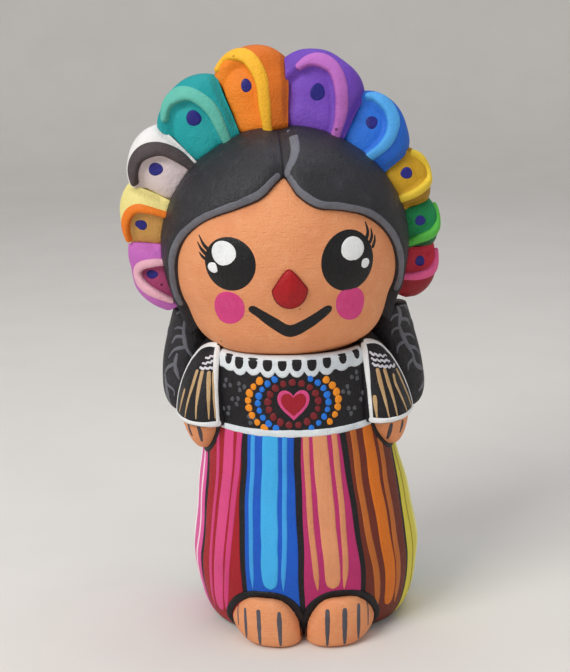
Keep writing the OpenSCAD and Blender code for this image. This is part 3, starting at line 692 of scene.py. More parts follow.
ROLL_ROWS, FRONT_COLS = 81, 66  # points across a roll, and up its front
ROLL_OVER = 1.03  # neighbouring rolls reach this far into each other
RIM_OVER_BOWL = 3.4  # bowl depth at which the rim's section is used in full
roll_parts = []
for i, colour in enumerate(ROLLS):
    u = np.sin(np.linspace(-math.pi / 2, math.pi / 2, ROLL_ROWS) * 0.995) / math.sin(math.pi / 2 * 0.995)
    v = np.concatenate([np.linspace(0, 1, FRONT_COLS), np.linspace(1, 2, 30)[1:]])
    U, V = np.meshgrid(u * ROLL_OVER, v, indexing="ij")
    skin_pts = roll_skin(i, U, V)
    t = np.linspace(0, 1, 12)[1:-1]
    under = skin_pts[:, -1:, :] * (1 - t)[None, :, None] + skin_pts[:, :1, :] * t[None, :, None]
    loops = np.concatenate([skin_pts, under * [0.97, 1.0, 0.97]], 1)
    part = solid(tube(loops[0].mean(0), loops, loops[-1].mean(0)), on_neck)
    side = past_rim(i, U, V)[0]
    in_bowl = []
    for q in part[1]:
        r, c = divmod(min(q), loops.shape[1])
        in_bowl.append(int(len(q) == 4 and c < FRONT_COLS - 1 and r < ROLL_ROWS - 1 and side[r, c] > 0))
    shell_code, bowl_code, rim_code = ROLL_PAINT[colour]
    # on most rolls the shell material carries painted shade: a darker copy of the bowl colour
    ob = finish_mesh("roll_paper_" + colour, part,
                     paint("shell_" + colour, shell_code, pits=0.05, streak=(500, 260, 500)),
                     paint("bowl_" + colour, bowl_code, pits=0.06, streak=(500, 260, 500)), face_mats=in_bowl)
    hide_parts("roll_" + colour)
    roll_parts.append(part)

    s = (1 - np.cos(np.linspace(0, math.pi, 111))) / 2
    ru, rv = rim_uv(i, s)
    line, nrm = roll_pt(i, ru, rv), roll_normal(i, ru, rv)
    tang = unit(np.gradient(line, axis=0))
    nrm = unit(nrm - tang * (nrm * tang).sum(-1, keepdims=True))
    across = np.cross(nrm, tang)
    run = np.concatenate([[0], np.cumsum(np.linalg.norm(np.diff(line, axis=0), axis=1))])
    half = rim_width(i, s) / 2
    tip = np.clip(run / half[0], 0, 1)
    tip = np.sqrt(np.clip(1 - (1 - tip) ** 2, 0.015, 1))
    half = half * tip * (1 + wobble(line, 7, 0.04))
    sec = np.array(RIM_SECTION)
    up = np.where(sec[:, 1] > 0, sec[:, 1], sec[:, 1] * min(1.0, BOWLS[colour][0] / RIM_OVER_BOWL))
    rings = (line[:, None, :] + across[:, None, :] * (sec[None, :, 0] * half[:, None])[..., None]
             + nrm[:, None, :] * (up[None, :] * lerp(0.35, 1.0, tip)[:, None])[..., None])
    part = solid(tube(rings[0].mean(0), rings, rings[-1].mean(0)), on_neck)
    ob = finish_mesh("coil_paint_" + colour, part,
                     paint("rim_" + colour, rim_code, pits=0.06, streak=(420, 420, 420)))
    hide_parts("coil_" + colour)

# ---- nose, braids, sleeves, hands, feet


def disc_grid(n):
    g = np.linspace(-1, 1, n)
    U, V = np.meshgrid(g, g, indexing="xy")
    return U * np.sqrt(1 - V * V / 2), V * np.sqrt(1 - U * U / 2)


X, Z = disc_grid(41)


def nose_xz(x, z):
    """A round of radius 1 drawn out into the nose's drop shape."""
    return x * NOSE_W / 2 * (1 - 0.55 * np.maximum(0, z) ** 0.8) + NOSE_X, z * NOSE_H / 2 + NOSE_Z


nose_x, nose_z = nose_xz(X, Z)


def face_pt(x, z, off=0.0):
    y = -(HEAD[1] + off) * np.sqrt(np.maximum(0, 1 - (x / (HEAD[0] + off)) ** 2 - (z / (HEAD[2] + off)) ** 2))
    return np.stack(np.broadcast_arrays(x, y, z), -1)


rise = NOSE_T * (0.72 * dome(np.hypot(X, Z), 2.4) + 0.28 * np.maximum(0, 1 - np.hypot(X * 1.3, Z)) ** 1.3)
nose_part = solid(slab(face_pt(nose_x, nose_z, rise), face_pt(nose_x, nose_z, -1.0)), on_neck)
ob = finish_mesh("nose_paper", nose_part, paint("nose_acrylic", "ab0f18", "860b13", "c41c26", rough=0.45))
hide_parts("nose")


def outside(p):
    """Pushes points out of the body and out of the hair, as the CAD source does."""
    p = np.array(p, float)
    z = np.minimum(BODY_H, p[..., 2])
    mx, my = body_mid(z)
    bx = np.abs(p[..., 0] - mx) / (body_rx(z) + TOUCH)
    by = np.abs(p[..., 1] - my) / (body_ry(z) + TOUCH)
    f = np.where(p[..., 2] > BODY_H + 1, 1.0, np.minimum(1, (bx**BODY_N + by**BODY_N) ** (1 / BODY_N)))
    q = np.stack([mx + (p[..., 0] - mx) / f, my + (p[..., 1] - my) / f, p[..., 2]], -1)
    h = to_head(q)
    g = np.minimum(1, np.linalg.norm(h / (HEAD + HAIR_T + TOUCH), axis=-1))
    return on_neck(h / g[..., None])


def braid(side):
    # height over the lower tip, inset of the outer edge, half width and half depth as shares, place front to back
    knots = [[0, 8, 0.2, 0.25, 1.5], [2.5, 3, 0.58, 0.62, 1.5], [7, 0.5, 0.84, 0.88, 1.2], [13, 0, 0.97, 1, 1],
             [24, 1.2, 1, 1, 0.8], [35, 3.8, 0.96, 1, 0.8], [42, 5.8, 0.76, 0.92, -1], [BRAID_H, 7.6, 0.42, 0.62, -1.5]]
    a = np.linspace(0, 360, 65)[:-1]
    rings = []
    for up in np.concatenate([[0.15], BRAID_H * np.linspace(0, 1, 70)[1:] ** 1.3]):
        z = BRAID_LOW + up
        rx, ry = curve(knots, up, 2) * BRAID_RX, curve(knots, up, 3) * BRAID_RY
        x, y = BRAID_OUT - curve(knots, up, 1) - rx, curve(knots, up, 4) + ry
        mx = float(body_mid(z)[0])
        rings.append(np.stack([mx + side * (x + rx * np.cos(rad(a))), y + ry * np.sin(rad(a)),
                               np.full(a.shape, z)], -1))
    rings = outside(np.array(rings))
    return solid(tube(rings[0].mean(0), rings, rings[-1].mean(0)))


braid_parts = []
for side, name in SIDES:
    braid_parts.append(braid(side))
    ob = finish_mesh("braid_paper_" + name, braid_parts[-1], hair_black)
    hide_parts("braid_" + name)


def sleeve(side):
    k = np.linspace(0, 1, 56)
    c = (1 - np.cos(np.linspace(0, math.pi, 61))) / 2
    K, C = np.meshgrid(k, c, indexing="ij")
    Zs = lerp(HEM_Z, SHOULDER_Z, K)
    A = lerp(SLEEVE_OUTER, body_angle(SLEEVE_INNER, Zs), C)
    W = 2 * C - 1
    t = lerp(SLEEVE_T, SLEEVE_TOP_T, K**1.8)
    off = TOUCH + (t - TOUCH) * np.where(W < 0, dome(W, 5), dome(W, 2.2)) * (1 - 0.8 * K**8)
    off = off * lerp(0.93, 1.0, ease(K / 0.05))
    if side < 0:
        A = 180 - A
    outer = body_pt(A, Zs, off)
    outer = outer + wobble(outer, 11, 0.12)[..., None] * np.array([0, -1, 0])
    return outer, body_pt(A, Zs, -1.0)


def hand_angle(side, x, y):
    a = HAND_ANGLE + x * (HAND_HALF - HAND_TAPER * y * y)
    return a if side > 0 else 180 - a


def hand(side):
    u, w = np.linspace(-1, 1, 45), np.linspace(0, 1, 27)
    U, Wd = np.meshgrid(u, w, indexing="xy")
    x, y = U * np.sqrt(1 - Wd * Wd / 2), Wd * np.sqrt(1 - U * U / 2)
    Zs = HEM_Z + HAND_TOP - HAND_H * y
    A = hand_angle(side, x, y)
    off = TOUCH + (HAND_T + HAND_FULL * (1 - y)) * dome(np.hypot(np.where(x > 0, 0.85 * x, x), y))
    return body_pt(A, Zs, off), body_pt(A, Zs, -1.0)


def foot_tuck(out, z):
    """How far the outer half of a foot curves in near the floor."""
    return np.where(out > 0, 1 - TOE_TUCK * np.maximum(0, 1 - 2 * z / FOOT_H) ** 2, 1.0)


def foot(side):
    mid = FOOT_SHIFT + side * (FOOT_W + FOOT_GAP) / 2
    z = FOOT_H * np.sin(np.linspace(0, math.pi / 2, 40))
    z[-1] = FOOT_H
    u = np.sin(np.linspace(-math.pi / 2, math.pi / 2, 61))
    Zs, U = np.meshgrid(z, u, indexing="ij")
    arch = dome(Zs / FOOT_H * 0.995, 2.6)
    high = FOOT_T - TOUCH + TOE_REACH * (1 - Zs / FOOT_H) ** 2
    off = TOUCH + high * dome(np.hypot(U * arch, 0.94 * Zs / FOOT_H), 2.6) * lerp(0.94, 1.0, ease(Zs / 1.6))
    A = body_angle(mid + U * foot_tuck(U * side, Zs) * arch * FOOT_W / 2, Zs)
    bed = body_pt(A, Zs)
    return bed - off[..., None] * [0, 1, 0], bed + [0, 1.0, 0]


limb_parts = {}
sleeve_black = paint("sleeve_acrylic", "1b191d", "121013", "302e33", rough=0.5)
for side, name in SIDES:
    for kind, make, mat, slot in (("sleeve", sleeve, sleeve_black, "sleeve"), ("hand", hand, skin, "skin"),
                                  ("foot", foot, skin, "skin")):
        limb_parts[kind + name] = solid(slab(*make(side)))
        ob = finish_mesh(kind + "_paper_" + name, limb_parts[kind + name], mat)
        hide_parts(kind + "_" + name)

for node, mat in (("neck_tube", card), ("shoulder_disc", card), ("base_disc", card), ("seam_strip_left", kraft),
                  ("seam_strip_right", kraft), ("head_seam_band", kraft)):
    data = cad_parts[node].data
    data.materials.clear()
    data.materials.append(mat)

# ---- brushwork


class Surface:
    """Nearest points and smooth normals on finished pieces, in millimetres."""

    def __init__(self, *parts):
        self.v, faces = join(parts)
        self.t = np.array([(q[0], q[k], q[k + 1]) for q in faces for k in range(1, len(q) - 1)])
        a, b, c = (self.v[self.t[:, k]] for k in range(3))
        self.n = np.zeros_like(self.v)
        for k in range(3):
            np.add.at(self.n, self.t[:, k], np.cross(b - a, c - a))
        self.n = unit(self.n)
        self.tree = BVHTree.FromPolygons(self.v.tolist(), self.t.tolist())

    def near(self, p):
        p = np.asarray(p, float)
        found = [self.tree.find_nearest(q) for q in p.reshape(-1, 3).tolist()]
        loc = np.array([tuple(f[0]) for f in found])
        tri = self.t[[f[2] for f in found]]
        a, b, c = (self.v[tri[:, k]] for k in range(3))
        full = np.maximum(1e-12, np.linalg.norm(np.cross(b - a, c - a), axis=1))
        wa = np.linalg.norm(np.cross(b - loc, c - loc), axis=1) / full
        wb = np.linalg.norm(np.cross(c - loc, a - loc), axis=1) / full
        n = self.n[tri[:, 0]] * wa[:, None] + self.n[tri[:, 1]] * wb[:, None] \
            + self.n[tri[:, 2]] * np.maximum(0, 1 - wa - wb)[:, None]
        return loc.reshape(p.shape), unit(n).reshape(p.shape)

    def front(self, points, back=False):
        """World x, z points laid on the surface from the front (or from behind)."""
        out = []
        way = -1 if back else 1
        for x, z in points:
            hit = self.tree.ray_cast((x, -200.0 * way, z), (0, way, 0))[0]
            out.append(tuple(hit) if hit is not None else tuple(self.tree.find_nearest((x, -8.0 * way, z))[0]))
        return np.array(out)


EDGE = np.array([-1, -0.86, -0.5, 0, 0.5, 0.86, 1])


def stroke(surface, line, width, high=0.22, lift=0.0, shake=0.06, wave=3.5):
    """A brush stroke: a low closed ridge along a line of points in mm.

    Its width runs through the listed widths, which are evenly spread unless they are (share of the way, width) pairs.
    """
    knots = np.asarray(line, float)
    run = np.concatenate([[0], np.cumsum(np.linalg.norm(np.diff(knots, axis=0), axis=1))])
    table, total = np.column_stack([run, knots]), run[-1]
    w = np.asarray(width, float)
    share, w = (w[:, 0], w[:, 1]) if w.ndim == 2 else (np.linspace(0, 1, len(w)), w)
    r0, r1 = (min(total / 2, max(0.12, x / 2)) for x in (w[0], w[-1]))
    tips = np.array([0, 0.05, 0.2, 0.5])
    t = np.unique(np.concatenate([tips * r0, np.linspace(r0, total - r1, max(3, int(total / 0.9))), total - tips * r1]))
    p, n = surface.near(np.stack([curve(table, t, k) for k in (1, 2, 3)], -1))
    along = unit(np.gradient(p, t, axis=0))
    across = unit(np.cross(along, n))
    cap = np.minimum(np.clip(t / r0, 0, 1), np.clip((total - t) / r1, 0, 1))
    cap = np.sqrt(np.clip(1 - (1 - cap) ** 2, 0.02, 1))
    half = np.interp(t / total, share, w) / 2 * cap * (1 + shake * wobble(p, wave, 1.0))
    q, qn = surface.near(p[:, None] + across[:, None] * (EDGE[None, :, None] * half[:, None, None]))
    rise = lift + high * np.sqrt(np.maximum(0, 1 - EDGE[None, :] ** 4)) * np.sqrt(cap)[:, None]
    return solid(slab(q + qn * rise[..., None], q + qn * (lift - ON_TOP)))


def blob(surface, centre, outline, high=0.22, lift=0.0, crown=0.0, rings=4):
    """A filled shape: outline is a ring of (right, up) offsets in mm from the centre, as seen facing the surface.

    The centre is a point, or a function that lays offsets out in its own way.
    """
    lay = centre
    if not callable(centre):
        p, n = surface.near([centre])
        up = unit(np.array([0, 0, 1.0]) - n[0] * n[0, 2])
        right = np.cross(up, n[0])

        def lay(o):
            return p + o[:, :1] * right + o[:, 1:] * up

    def ring(share, rise):
        q, qn = surface.near(lay(np.asarray(outline, float) * share))
        return q + qn * rise

    shares = np.sin(np.linspace(0, math.pi / 2, rings + 2))[1:]
    layers = [ring(k, lift + high * math.sqrt(max(0, 1 - k**6)) + crown * (1 - k * k)) for k in shares]
    layers += [ring(1.0, lift - ON_TOP), ring(0.5, lift - ON_TOP)]
    q, qn = surface.near(lay(np.zeros((1, 2))))
    return solid(tube(q[0] + qn[0] * (lift + high + crown), layers, q[0] + qn[0] * (lift - ON_TOP)))


def oval(rx, rz, turn=0.0, n=26, squareness=2.0, rough=0.03):
    a = np.linspace(0, 2 * math.pi, n + 1)[:-1]
    x = rx * spow(np.cos(a), 2 / squareness)
    z = rz * spow(np.sin(a), 2 / squareness)
    k = 1 + rough * np.sin(2 * a + rng.uniform(0, 6)) + rough * np.sin(3 * a + rng.uniform(0, 6))
    c, s = math.cos(math.radians(turn)), math.sin(math.radians(turn))
    return np.column_stack([(c * x - s * z) * k, (s * x + c * z) * k])


def heart(w, h, n=48):
    a = np.linspace(0, 2 * math.pi, n + 1)[:-1]
    x = spow(np.sin(a), 2.4)
    z = (13 * np.cos(a) - 4.4 * np.cos(2 * a) - 2 * np.cos(3 * a) - 0.6 * np.cos(4 * a)) / 16
    return np.column_stack([x * w / 2, (z + 0.08) * h / 1.75])


coats = {}


def coat(name, material, slot, *parts):
    """Adds paint to a named coat, which is made into one piece at the end."""
    coats.setdefault(name, (material, slot, []))[2].extend(parts)


body_s = Surface(body_part)
skin_s = Surface((on_neck(ball_out[0]), ball_out[1]))
hair_s = Surface(*hair_parts)

white_acrylic = paint("white_acrylic", "eef0f0", "c9ced4", "ffffff", streak=(900, 900, 160), rough=0.5)
lace_white = paint("lace_acrylic", "dfe6ea", "aab4bf", "fafcfd", streak=(240, 900, 900), rough=0.5)
grey_acrylic = paint("grey_acrylic", "6b6c74", "55565e", "82848d", rough=0.5)
navy = paint("navy_acrylic", "24217e", "1b1a5e", "35309c", rough=0.45)
magenta = paint("magenta_acrylic", "db4186", "c73474", "e65f9a", rough=0.55)
tan = paint("tan_acrylic", "c5a377", "a58256", "d8bd92", streak=(900, 900, 120))
black_gloss = paint("eye_black_acrylic", "141315", "0d0c0e", "242326", rough=0.42)

# ---- skirt

PANEL, STRIPE = 0.26, 0.2
# lines between the skirt's fields, as angles round the body (front is -90), by height
LINES = [
    [[5, -158], [10, -157.5], [25, -155], [40, -153.5], [60, -154], [80, -156], [95, -158]],
    [[5, -120], [25, -120.4], [52, -121.5], [67, -122], [82, -120.3], [95, -119]],
    [[5, -91.6], [31, -91.8], [61, -91.3], [76, -90.6], [95, -89.2]],
    [[5, -62.5], [26, -62.9], [48, -64.1], [78, -63.5], [95, -64.2]],
    [[5, -29], [37, -29.2], [52, -26.5], [67, -23.8], [79, -18.5], [95, -14]],
    [[5, 15], [50, 14], [95, 17]],
    [[5, 51], [50, 52], [95, 51]],
    [[5, 91], [50, 88], [95, 90]],
    [[5, 128], [50, 127], [95, 129]],
    [[5, 165], [50, 162], [95, 159]],
]
LINE_GAP = [2.6, 2.9, 3.0, 2.8, 2.0, 1.9, 2.4, 2.6, 2.4, 1.9]
# field colour, narrow stripe colour, wide stripe colour, foot of the stripes,
# then (place at the top, middle and foot; widest) of each stripe
FIELDS = [
    ("a41824", "d23f7c", "dc4985", 9, [(0.42, 0.31, 0.26, 1.9), (0.70, 0.55, 0.42, 5.6), (0.92, 0.77, 0.58, 2.7)]),
    ("1459c6", "3ea0e8", "3fb0ee", 25, [(0.20, 0.18, 0.175, 2), (0.55, 0.515, 0.5, 7.3), (0.81, 0.77, 0.72, 2.1)]),
    ("b92c6c", "db8f66", "e2986c", 25, [(0.155, 0.155, 0.215, 2.5), (0.44, 0.44, 0.455, 6.9), (0.78, 0.72, 0.64, 2.6)]),
    ("6e2a1b", "c06a2b", "dd7419", 11, [(0.15, 0.165, 0.31, 3), (0.39, 0.46, 0.58, 6), (0.62, 0.68, 0.76, 3)]),
    ("ddd044", "a5992b", "efe98a", 12, [(0.16, 0.18, 0.2, 1), (0.5, 0.48, 0.46, 5.6), (0.8, 0.8, 0.78, 1)]),
    ("0f7a46", "59bd48", "86cf52", 12, [(0.2, 0.18, 0.2, 2.3), (0.5, 0.5, 0.5, 6.8), (0.8, 0.8, 0.78, 2.3)]),
    ("5b379f", "a873cf", "c48fdc", 13, [(0.18, 0.2, 0.2, 2.3), (0.5, 0.48, 0.5, 7), (0.8, 0.79, 0.78, 2.3)]),
    ("c8401f", "f0922e", "f5b34a", 12, [(0.2, 0.2, 0.22, 2.3), (0.5, 0.51, 0.5, 7), (0.8, 0.78, 0.78, 2.3)]),
    ("0e8b90", "62c3b8", "93d8cb", 12, [(0.2, 0.18, 0.2, 2.2), (0.5, 0.5, 0.49, 6.6), (0.8, 0.8, 0.78, 2.2)]),
    ("e2559f", "fadce8", "fdf1f5", 14, [(0.3, 0.28, 0.26, 1.4), (0.58, 0.56, 0.54, 3.6), (0.86, 0.84, 0.83, 1.5)]),
]
FIELD_TOP, FIELD_LOW = HEM_Z - 0.3, 1.6


def line_angle(k, z):
    return curve(LINES[k % 10], z) + (360 if k >= 10 else 0) + 0.12 * np.sin(np.asarray(z) / 4.3 + k * 2.1)


def field_start(k, z):
    """Left and right edge of field k, clear of its two lines."""
    left, right = line_angle(k, z), line_angle(k + 1, z)
    if k + 1 < 10 and LINES[k + 1][0][1] < LINES[k][0][1]:
        right = right + 360
    return left, right


for k, (base_code, thin_code, wide_code, lowest, stripes) in enumerate(FIELDS):
    z = np.concatenate([[FIELD_LOW, FIELD_LOW + 0.3], np.linspace(FIELD_LOW + 1.2, FIELD_TOP - 1, 72), [FIELD_TOP]])
    left, right = field_start(k, z)
    a_l = body_pt(left, z)
    reach = np.linalg.norm(body_pt(left + 1.0, z) - a_l, axis=-1)
    left = left + LINE_GAP[k] / 2 / reach * lerp(0.7, 1.05, z / FIELD_TOP)
    reach = np.linalg.norm(body_pt(right - 1.0, z) - body_pt(right, z), axis=-1)
    right = right - LINE_GAP[(k + 1) % 10] / 2 / reach * lerp(0.7, 1.05, z / FIELD_TOP)
    t = (1 - np.cos(np.linspace(0, math.pi, 35))) / 2
    A = lerp(left[:, None], right[:, None], t[None, :])
    q, qn = body_s.near(body_pt(A, z[:, None]))
    rise = PANEL * np.sqrt(np.maximum(0, 1 - np.abs(2 * t - 1) ** 30))[None, :] * np.ones_like(A)
    rise[0], rise[-1] = 0, 0
    coat("field_%d" % k, paint("field_%d" % k, base_code, streak=(700, 700, 60), rough=0.5), BLOUSE,
         solid(slab(q + qn * rise[..., None], q - qn * ON_TOP)))
    for j, (top, mid, low, wide) in enumerate(stripes):
        start = lowest - 0.5 if j != 1 else lowest
        zz = np.linspace(start, FIELD_TOP - 0.1, 14)
        lo, hi = field_start(k, zz)
        place = curve([[start, low], [50, mid], [FIELD_TOP, top]], zz)
        line = body_pt(lerp(lo, hi, place), zz)
        widths = [(k_, wide * w_) for k_, w_ in (
            ((0, 0.5), (0.02, 0.75), (0.06, 0.95), (0.12, 1), (0.7, 1), (1, 0.9)) if j == 1 else
            ((0, 0.12), (0.03, 0.45), (0.09, 0.9), (0.15, 1), (1, 1)))]
        code = wide_code if j == 1 else thin_code
        coat("stripes_%s" % code, paint("stripe_" + code, code, streak=(700, 700, 60), rough=0.5), BLOUSE,
             stroke(body_s, line, widths, high=STRIPE, lift=PANEL, shake=0.022, wave=9))

# ---- feet

toe_grey = paint("toe_grey_acrylic", "55535b", "413f47", "6a6972", rough=0.5)
TOES = {-1: [(-12, 17.2, 1.8, 1.9), (-20.8, 17.8, 1.6, 2), (-26.6, 16.8, 2.8, 1.6), (-29.9, 15.4, 7.6, 1)],
        1: [(8.6, 18, 1.6, 2), (16, 18.3, 1.8, 2.3), (22, 18.4, 2.6, 1.9), (26.2, 17, 7.4, 1.1)]}
for side, name in SIDES:
    foot_s = Surface(limb_parts["foot" + name])
    mid = FOOT_SHIFT + side * (FOOT_W + FOOT_GAP) / 2
    t = np.linspace(0.015, math.pi - 0.015, 40)
    z = 0.9 + (FOOT_H + 0.4) * spow(np.sin(t), 2 / 2.6)
    out = -spow(np.cos(t), 2 / 2.6)
    rim = body_pt(body_angle(mid + (FOOT_W / 2 + 0.5) * out * foot_tuck(out * side, z), z), z)
    coat("foot_outline", charcoal, BLOUSE,
         stroke(body_s, rim, [2.6, 3.3, 3.4, 3.3, 2.6], high=0.5, lift=PANEL + 0.1, shake=0.04))
    inner = foot(side)[0][3:26:2, 5 if side > 0 else -6]
    coat("foot_sides", charcoal, "skin", stroke(foot_s, inner, [1.6, 1.9, 1.7, 1.0], high=0.16, shake=0.05))
    for x0, top, low, wide in TOES[side]:
        line = foot_s.front([(x0 - 0.4 * side * (top - zz) / top, zz) for zz in np.linspace(top, low, 9)])
        coat("toe_lines", toe_grey, "skin",
             stroke(foot_s, line, [wide * 0.9, wide, wide, wide * 0.8, wide * 0.45], high=0.16, shake=0.05))

# ---- face


def face(x, z):
    return on_neck(face_pt(x, z))


def on_face(x, z):
    """Lays offsets out as seen from straight in front of the face."""
    return lambda o: face(x + o[:, 0], z + o[:, 1])


EYES = [  # middle and half sizes of an eye; its large light; its small light
    ((-23.7, 0.9), (10.1, 10.9), (-25.6, 5.2, 4.8), (-30.2, -0.5, 2.15)),
    ((23.4, -1), (11, 12.5), (25.3, 3.6, 4.8), (30.2, -2.9, 2)),
]
for middle, half, large, small in EYES:
    coat("eyes", black_gloss, "skin",
         blob(skin_s, on_face(*middle), oval(*half, n=56, rough=0.008), crown=0.35, rings=8))
    coat("eye_lights", white_acrylic, "skin",
         blob(skin_s, on_face(*large[:2]), oval(large[2], large[2] * 1.05, n=34, rough=0.015), lift=0.42, high=0.2),
         blob(skin_s, on_face(*small[:2]), oval(small[2], small[2] * 1.1, n=24, rough=0.03), lift=0.3, high=0.2,
              rings=2))
LASHES = [[(-31, 5.6), (-33.6, 8.4), (-35.2, 12)], [(-32.2, 4), (-34.6, 6.4), (-36, 9.2)],
          [(-33, 2.4), (-34.6, 3.6), (-35.7, 5.2)], [(31.6, 6), (32.7, 9.3), (32, 13.4)],
          [(33, 4.4), (34.3, 7.2), (34.2, 10.4)], [(34, 2.4), (35.3, 4.8), (35.6, 7.4)]]
for lash in LASHES:
    coat("eyes", black_gloss, "skin", stroke(skin_s, [face(*q) for q in lash], [1.9, 1.4, 0.4], high=0.2, lift=0.02))
for x, z in ((-25.4, -18.0), (23.9, -19.4)):
    coat("cheeks", magenta, "skin",
         blob(skin_s, on_face(x, z), oval(6.1, 7.5, n=40, squareness=2.12, rough=0.012), high=0.16, rings=6))
MOUTH = [(-17.4, -17.4), (-13.2, -20.6), (-7.6, -24.8), (-1.4, -28.2), (5.2, -25.9), (10.8, -22.8), (15.9, -19.4)]
coat("mouth", black_gloss, "skin",
     stroke(skin_s, [face(*q) for q in MOUTH], [4.1, 4.7, 5.1, 5.8, 5.1, 4.7, 4.1], high=0.22, shake=0.03))
nose_s = Surface(nose_part)
t = np.linspace(0.02, 2 * math.pi - 0.02, 40)
ring = on_neck(face_pt(*nose_xz(0.93 * np.sin(t), 0.93 * np.cos(t)), 0.6))
coat("nose_edge", paint("nose_edge_acrylic", "6f0a15", "59070f", "861019", rough=0.45), "nose_red",
     stroke(nose_s, ring, [0.7, 1.2, 1.4, 1.2, 0.7], high=0.14, shake=0.08))

# ---- hair


def hair_line(side, lift_deg=1.2):
    a = np.concatenate([[92], np.linspace(97, 206, 30)])
    p = head_pt(a, curve(HAIRLINES[side], a) + lift_deg, HAIR_T * 0.6)
    return on_neck(p * ([-1, 1, 1] if side > 0 else [1, 1, 1]))


for side in (-1, 1):
    coat("hair_edge", grey_acrylic, "hair",
         stroke(hair_s, hair_line(side), [3.0, 3.5, 3.4, 3.2, 3.1, 3.0, 2.7, 2.3], high=0.1, shake=0.05))
parting = [(3.1, 49.6), (5.2, 47), (5.6, 44), (4, 40), (0.6, 36.4), (-0.4, 34.2)]
coat("hair_edge", grey_acrylic, "hair",
     stroke(hair_s, [on_neck(face_pt(x, z, HAIR_T) if z < 47 else [x, -9.0, z]) for x, z in parting],
            [2.6, 3.6, 4.0, 3.8, 3.6, 2.6], high=0.26, shake=0.05))

# ---- braids


def vine(surface, spine, twigs, name):
    """A spine of curved strokes with side twigs, as on the braids."""
    for line, w in spine:
        coat(name, grey_acrylic, "hair", stroke(surface, line, w, high=0.2, shake=0.08))
    for line in twigs:
        coat(name, grey_acrylic, "hair", stroke(surface, line, [1.7, 1.5, 1.1, 0.5], high=0.18, shake=0.08))


def bend(a, b, sag):
    """Three points from a to b with the middle pushed sideways by sag."""
    a, b = np.array(a, float), np.array(b, float)
    d = b - a
    return [tuple(a), tuple((a + b) / 2 + np.array([-d[1], d[0]]) / np.hypot(*d) * sag), tuple(b)]


SPINES = {
    -1: [[(-49.4, 143), (-49.6, 137.5), (-46.3, 128.8)], [(-50.2, 134.4), (-51, 128), (-50.4, 122), (-47.8, 117.3)],
         [(-54.4, 119), (-55.6, 113), (-54, 107)], [(-60.6, 109), (-60.2, 102), (-58.6, 94.6)]],
    1: [[(42.2, 142), (42.8, 137), (43.3, 134), (42.8, 129.3)],
        [(42.7, 130), (44.8, 124), (46.8, 119.9), (49.2, 115.6)],
        [(48.9, 116.4), (50.4, 111), (54.2, 106.6)], [(54, 107.2), (54.4, 102.4), (51.6, 98.4)]],
}
TWIGS = {
    -1: [((-50.2, 141.5), (-54, 136.8), -1), ((-51.2, 130.4), (-55.2, 129.6), -0.8),
         ((-51, 126.6), (-56.8, 122.8), -1.6),
         ((-50.8, 121.8), (-58.6, 116.2), -1.6), ((-55.8, 114.2), (-61.2, 106.9), -1.2),
         ((-60.6, 104.4), (-62.6, 98.6), -0.8)],
    1: [((42.9, 138.8), (46.6, 136.2), 1.2), ((43.5, 132.8), (47.9, 128.3), 1.3), ((44.6, 125), (50.2, 121.6), 1.2),
        ((46.8, 119.6), (52.6, 114), 1.2), ((42.6, 135), (38.9, 132), -0.8), ((43, 128.6), (39.5, 125.2), -1.2),
        ((45.2, 122), (42, 116.8), -1.4), ((49.2, 113.6), (46.8, 108.8), -1)],
}
for (side, name), part in zip(SIDES, braid_parts):
    s_ = Surface(part)
    vine(s_, [(s_.front(line), [0.9, 2.0, 2.1, 0.9]) for line in SPINES[side]],
         [s_.front(bend(*q)) for q in TWIGS[side]], "braid_vines")
    mid = float(body_mid(120.0)[0])
    back = [[(side * 49 + mid, 136.0), (side * 50 + mid, 128.0), (side * 48 + mid, 120.0)],
            [(side * 49 + mid, 122.0), (side * 51 + mid, 113.0), (side * 48 + mid, 105.0)],
            [(side * 49 + mid, 108.0), (side * 51 + mid, 101.0), (side * 49 + mid, 95.0)]]
    back_twigs = [((side * 49.8 + mid, z), (side * (49.8 + q * 6) + mid, z - 5.5), side * q * 1.2)
                  for z in (131, 124, 116, 109) for q in (-1, 1)]
    vine(s_, [(s_.front(line, True), [0.9, 2.0, 2.1, 0.9]) for line in back],
         [s_.front(bend(*q), True) for q in back_twigs], "braid_vines")

# ---- headdress dots

for i, colour in enumerate(ROLLS):
    _, du, dv, rx, rz = BOWLS[colour]
    s_ = Surface(roll_parts[i])
    coat("bowl_dots", navy, "roll_" + colour,
         blob(s_, on_neck(roll_skin(i, np.array([du]), np.array([dv]))[0]), oval(rx, rz, n=26, rough=0.04), high=0.2))

# ---- blouse

SCALLOPS = [(-30.4, 118.6), (-26, 117.4), (-20.2, 117.9), (-14.1, 117.2), (-8, 117.2), (-2, 117.3), (4.2, 117.1),
            (10.4, 117.5), (17, 118.4), (23, 118.9)]
LACE_HOLE = [(-1.75, 2.0), (-1.0, 2.15), (0, 2.2), (1.0, 2.15), (1.75, 2.0), (1.85, 0.6), (1.6, -0.9), (0.9, -1.9),
             (0, -2.15), (-0.9, -1.9), (-1.6, -0.9), (-1.85, 0.6)]
LACE_RIM = [(0.35, -0.9), (0.75, -2.0), (1.0, -3.4)]  # height over the collar and depth, over its rounded top
x = np.linspace(-38.2, 29.2, 171)
low = np.full(x.shape, 119.5)
for cx, cz in SCALLOPS:
    reach = np.clip(1 - ((x - cx) / 3.3) ** 2, 0, 1)
    low = np.minimum(low, np.where(reach > 0, lerp(121.6, cz, np.sqrt(reach)), 200))
low += BODY_H - DRAWN_H
rows = np.linspace(0, 1, 14)
lace_z = lerp(low[None, :], COLLAR_Z - 0.6, rows[:, None])
A = body_angle(x[None, :] - body_mid(lace_z)[0], lace_z)
lace = [body_pt(A, lace_z)]
for over, deep in LACE_RIM:
    turned = body_pt(A[-1:], COLLAR_Z - 0.5, deep)
    turned[..., 2] = COLLAR_Z + over
    lace.append(turned)
q, qn = body_s.near(np.concatenate(lace))
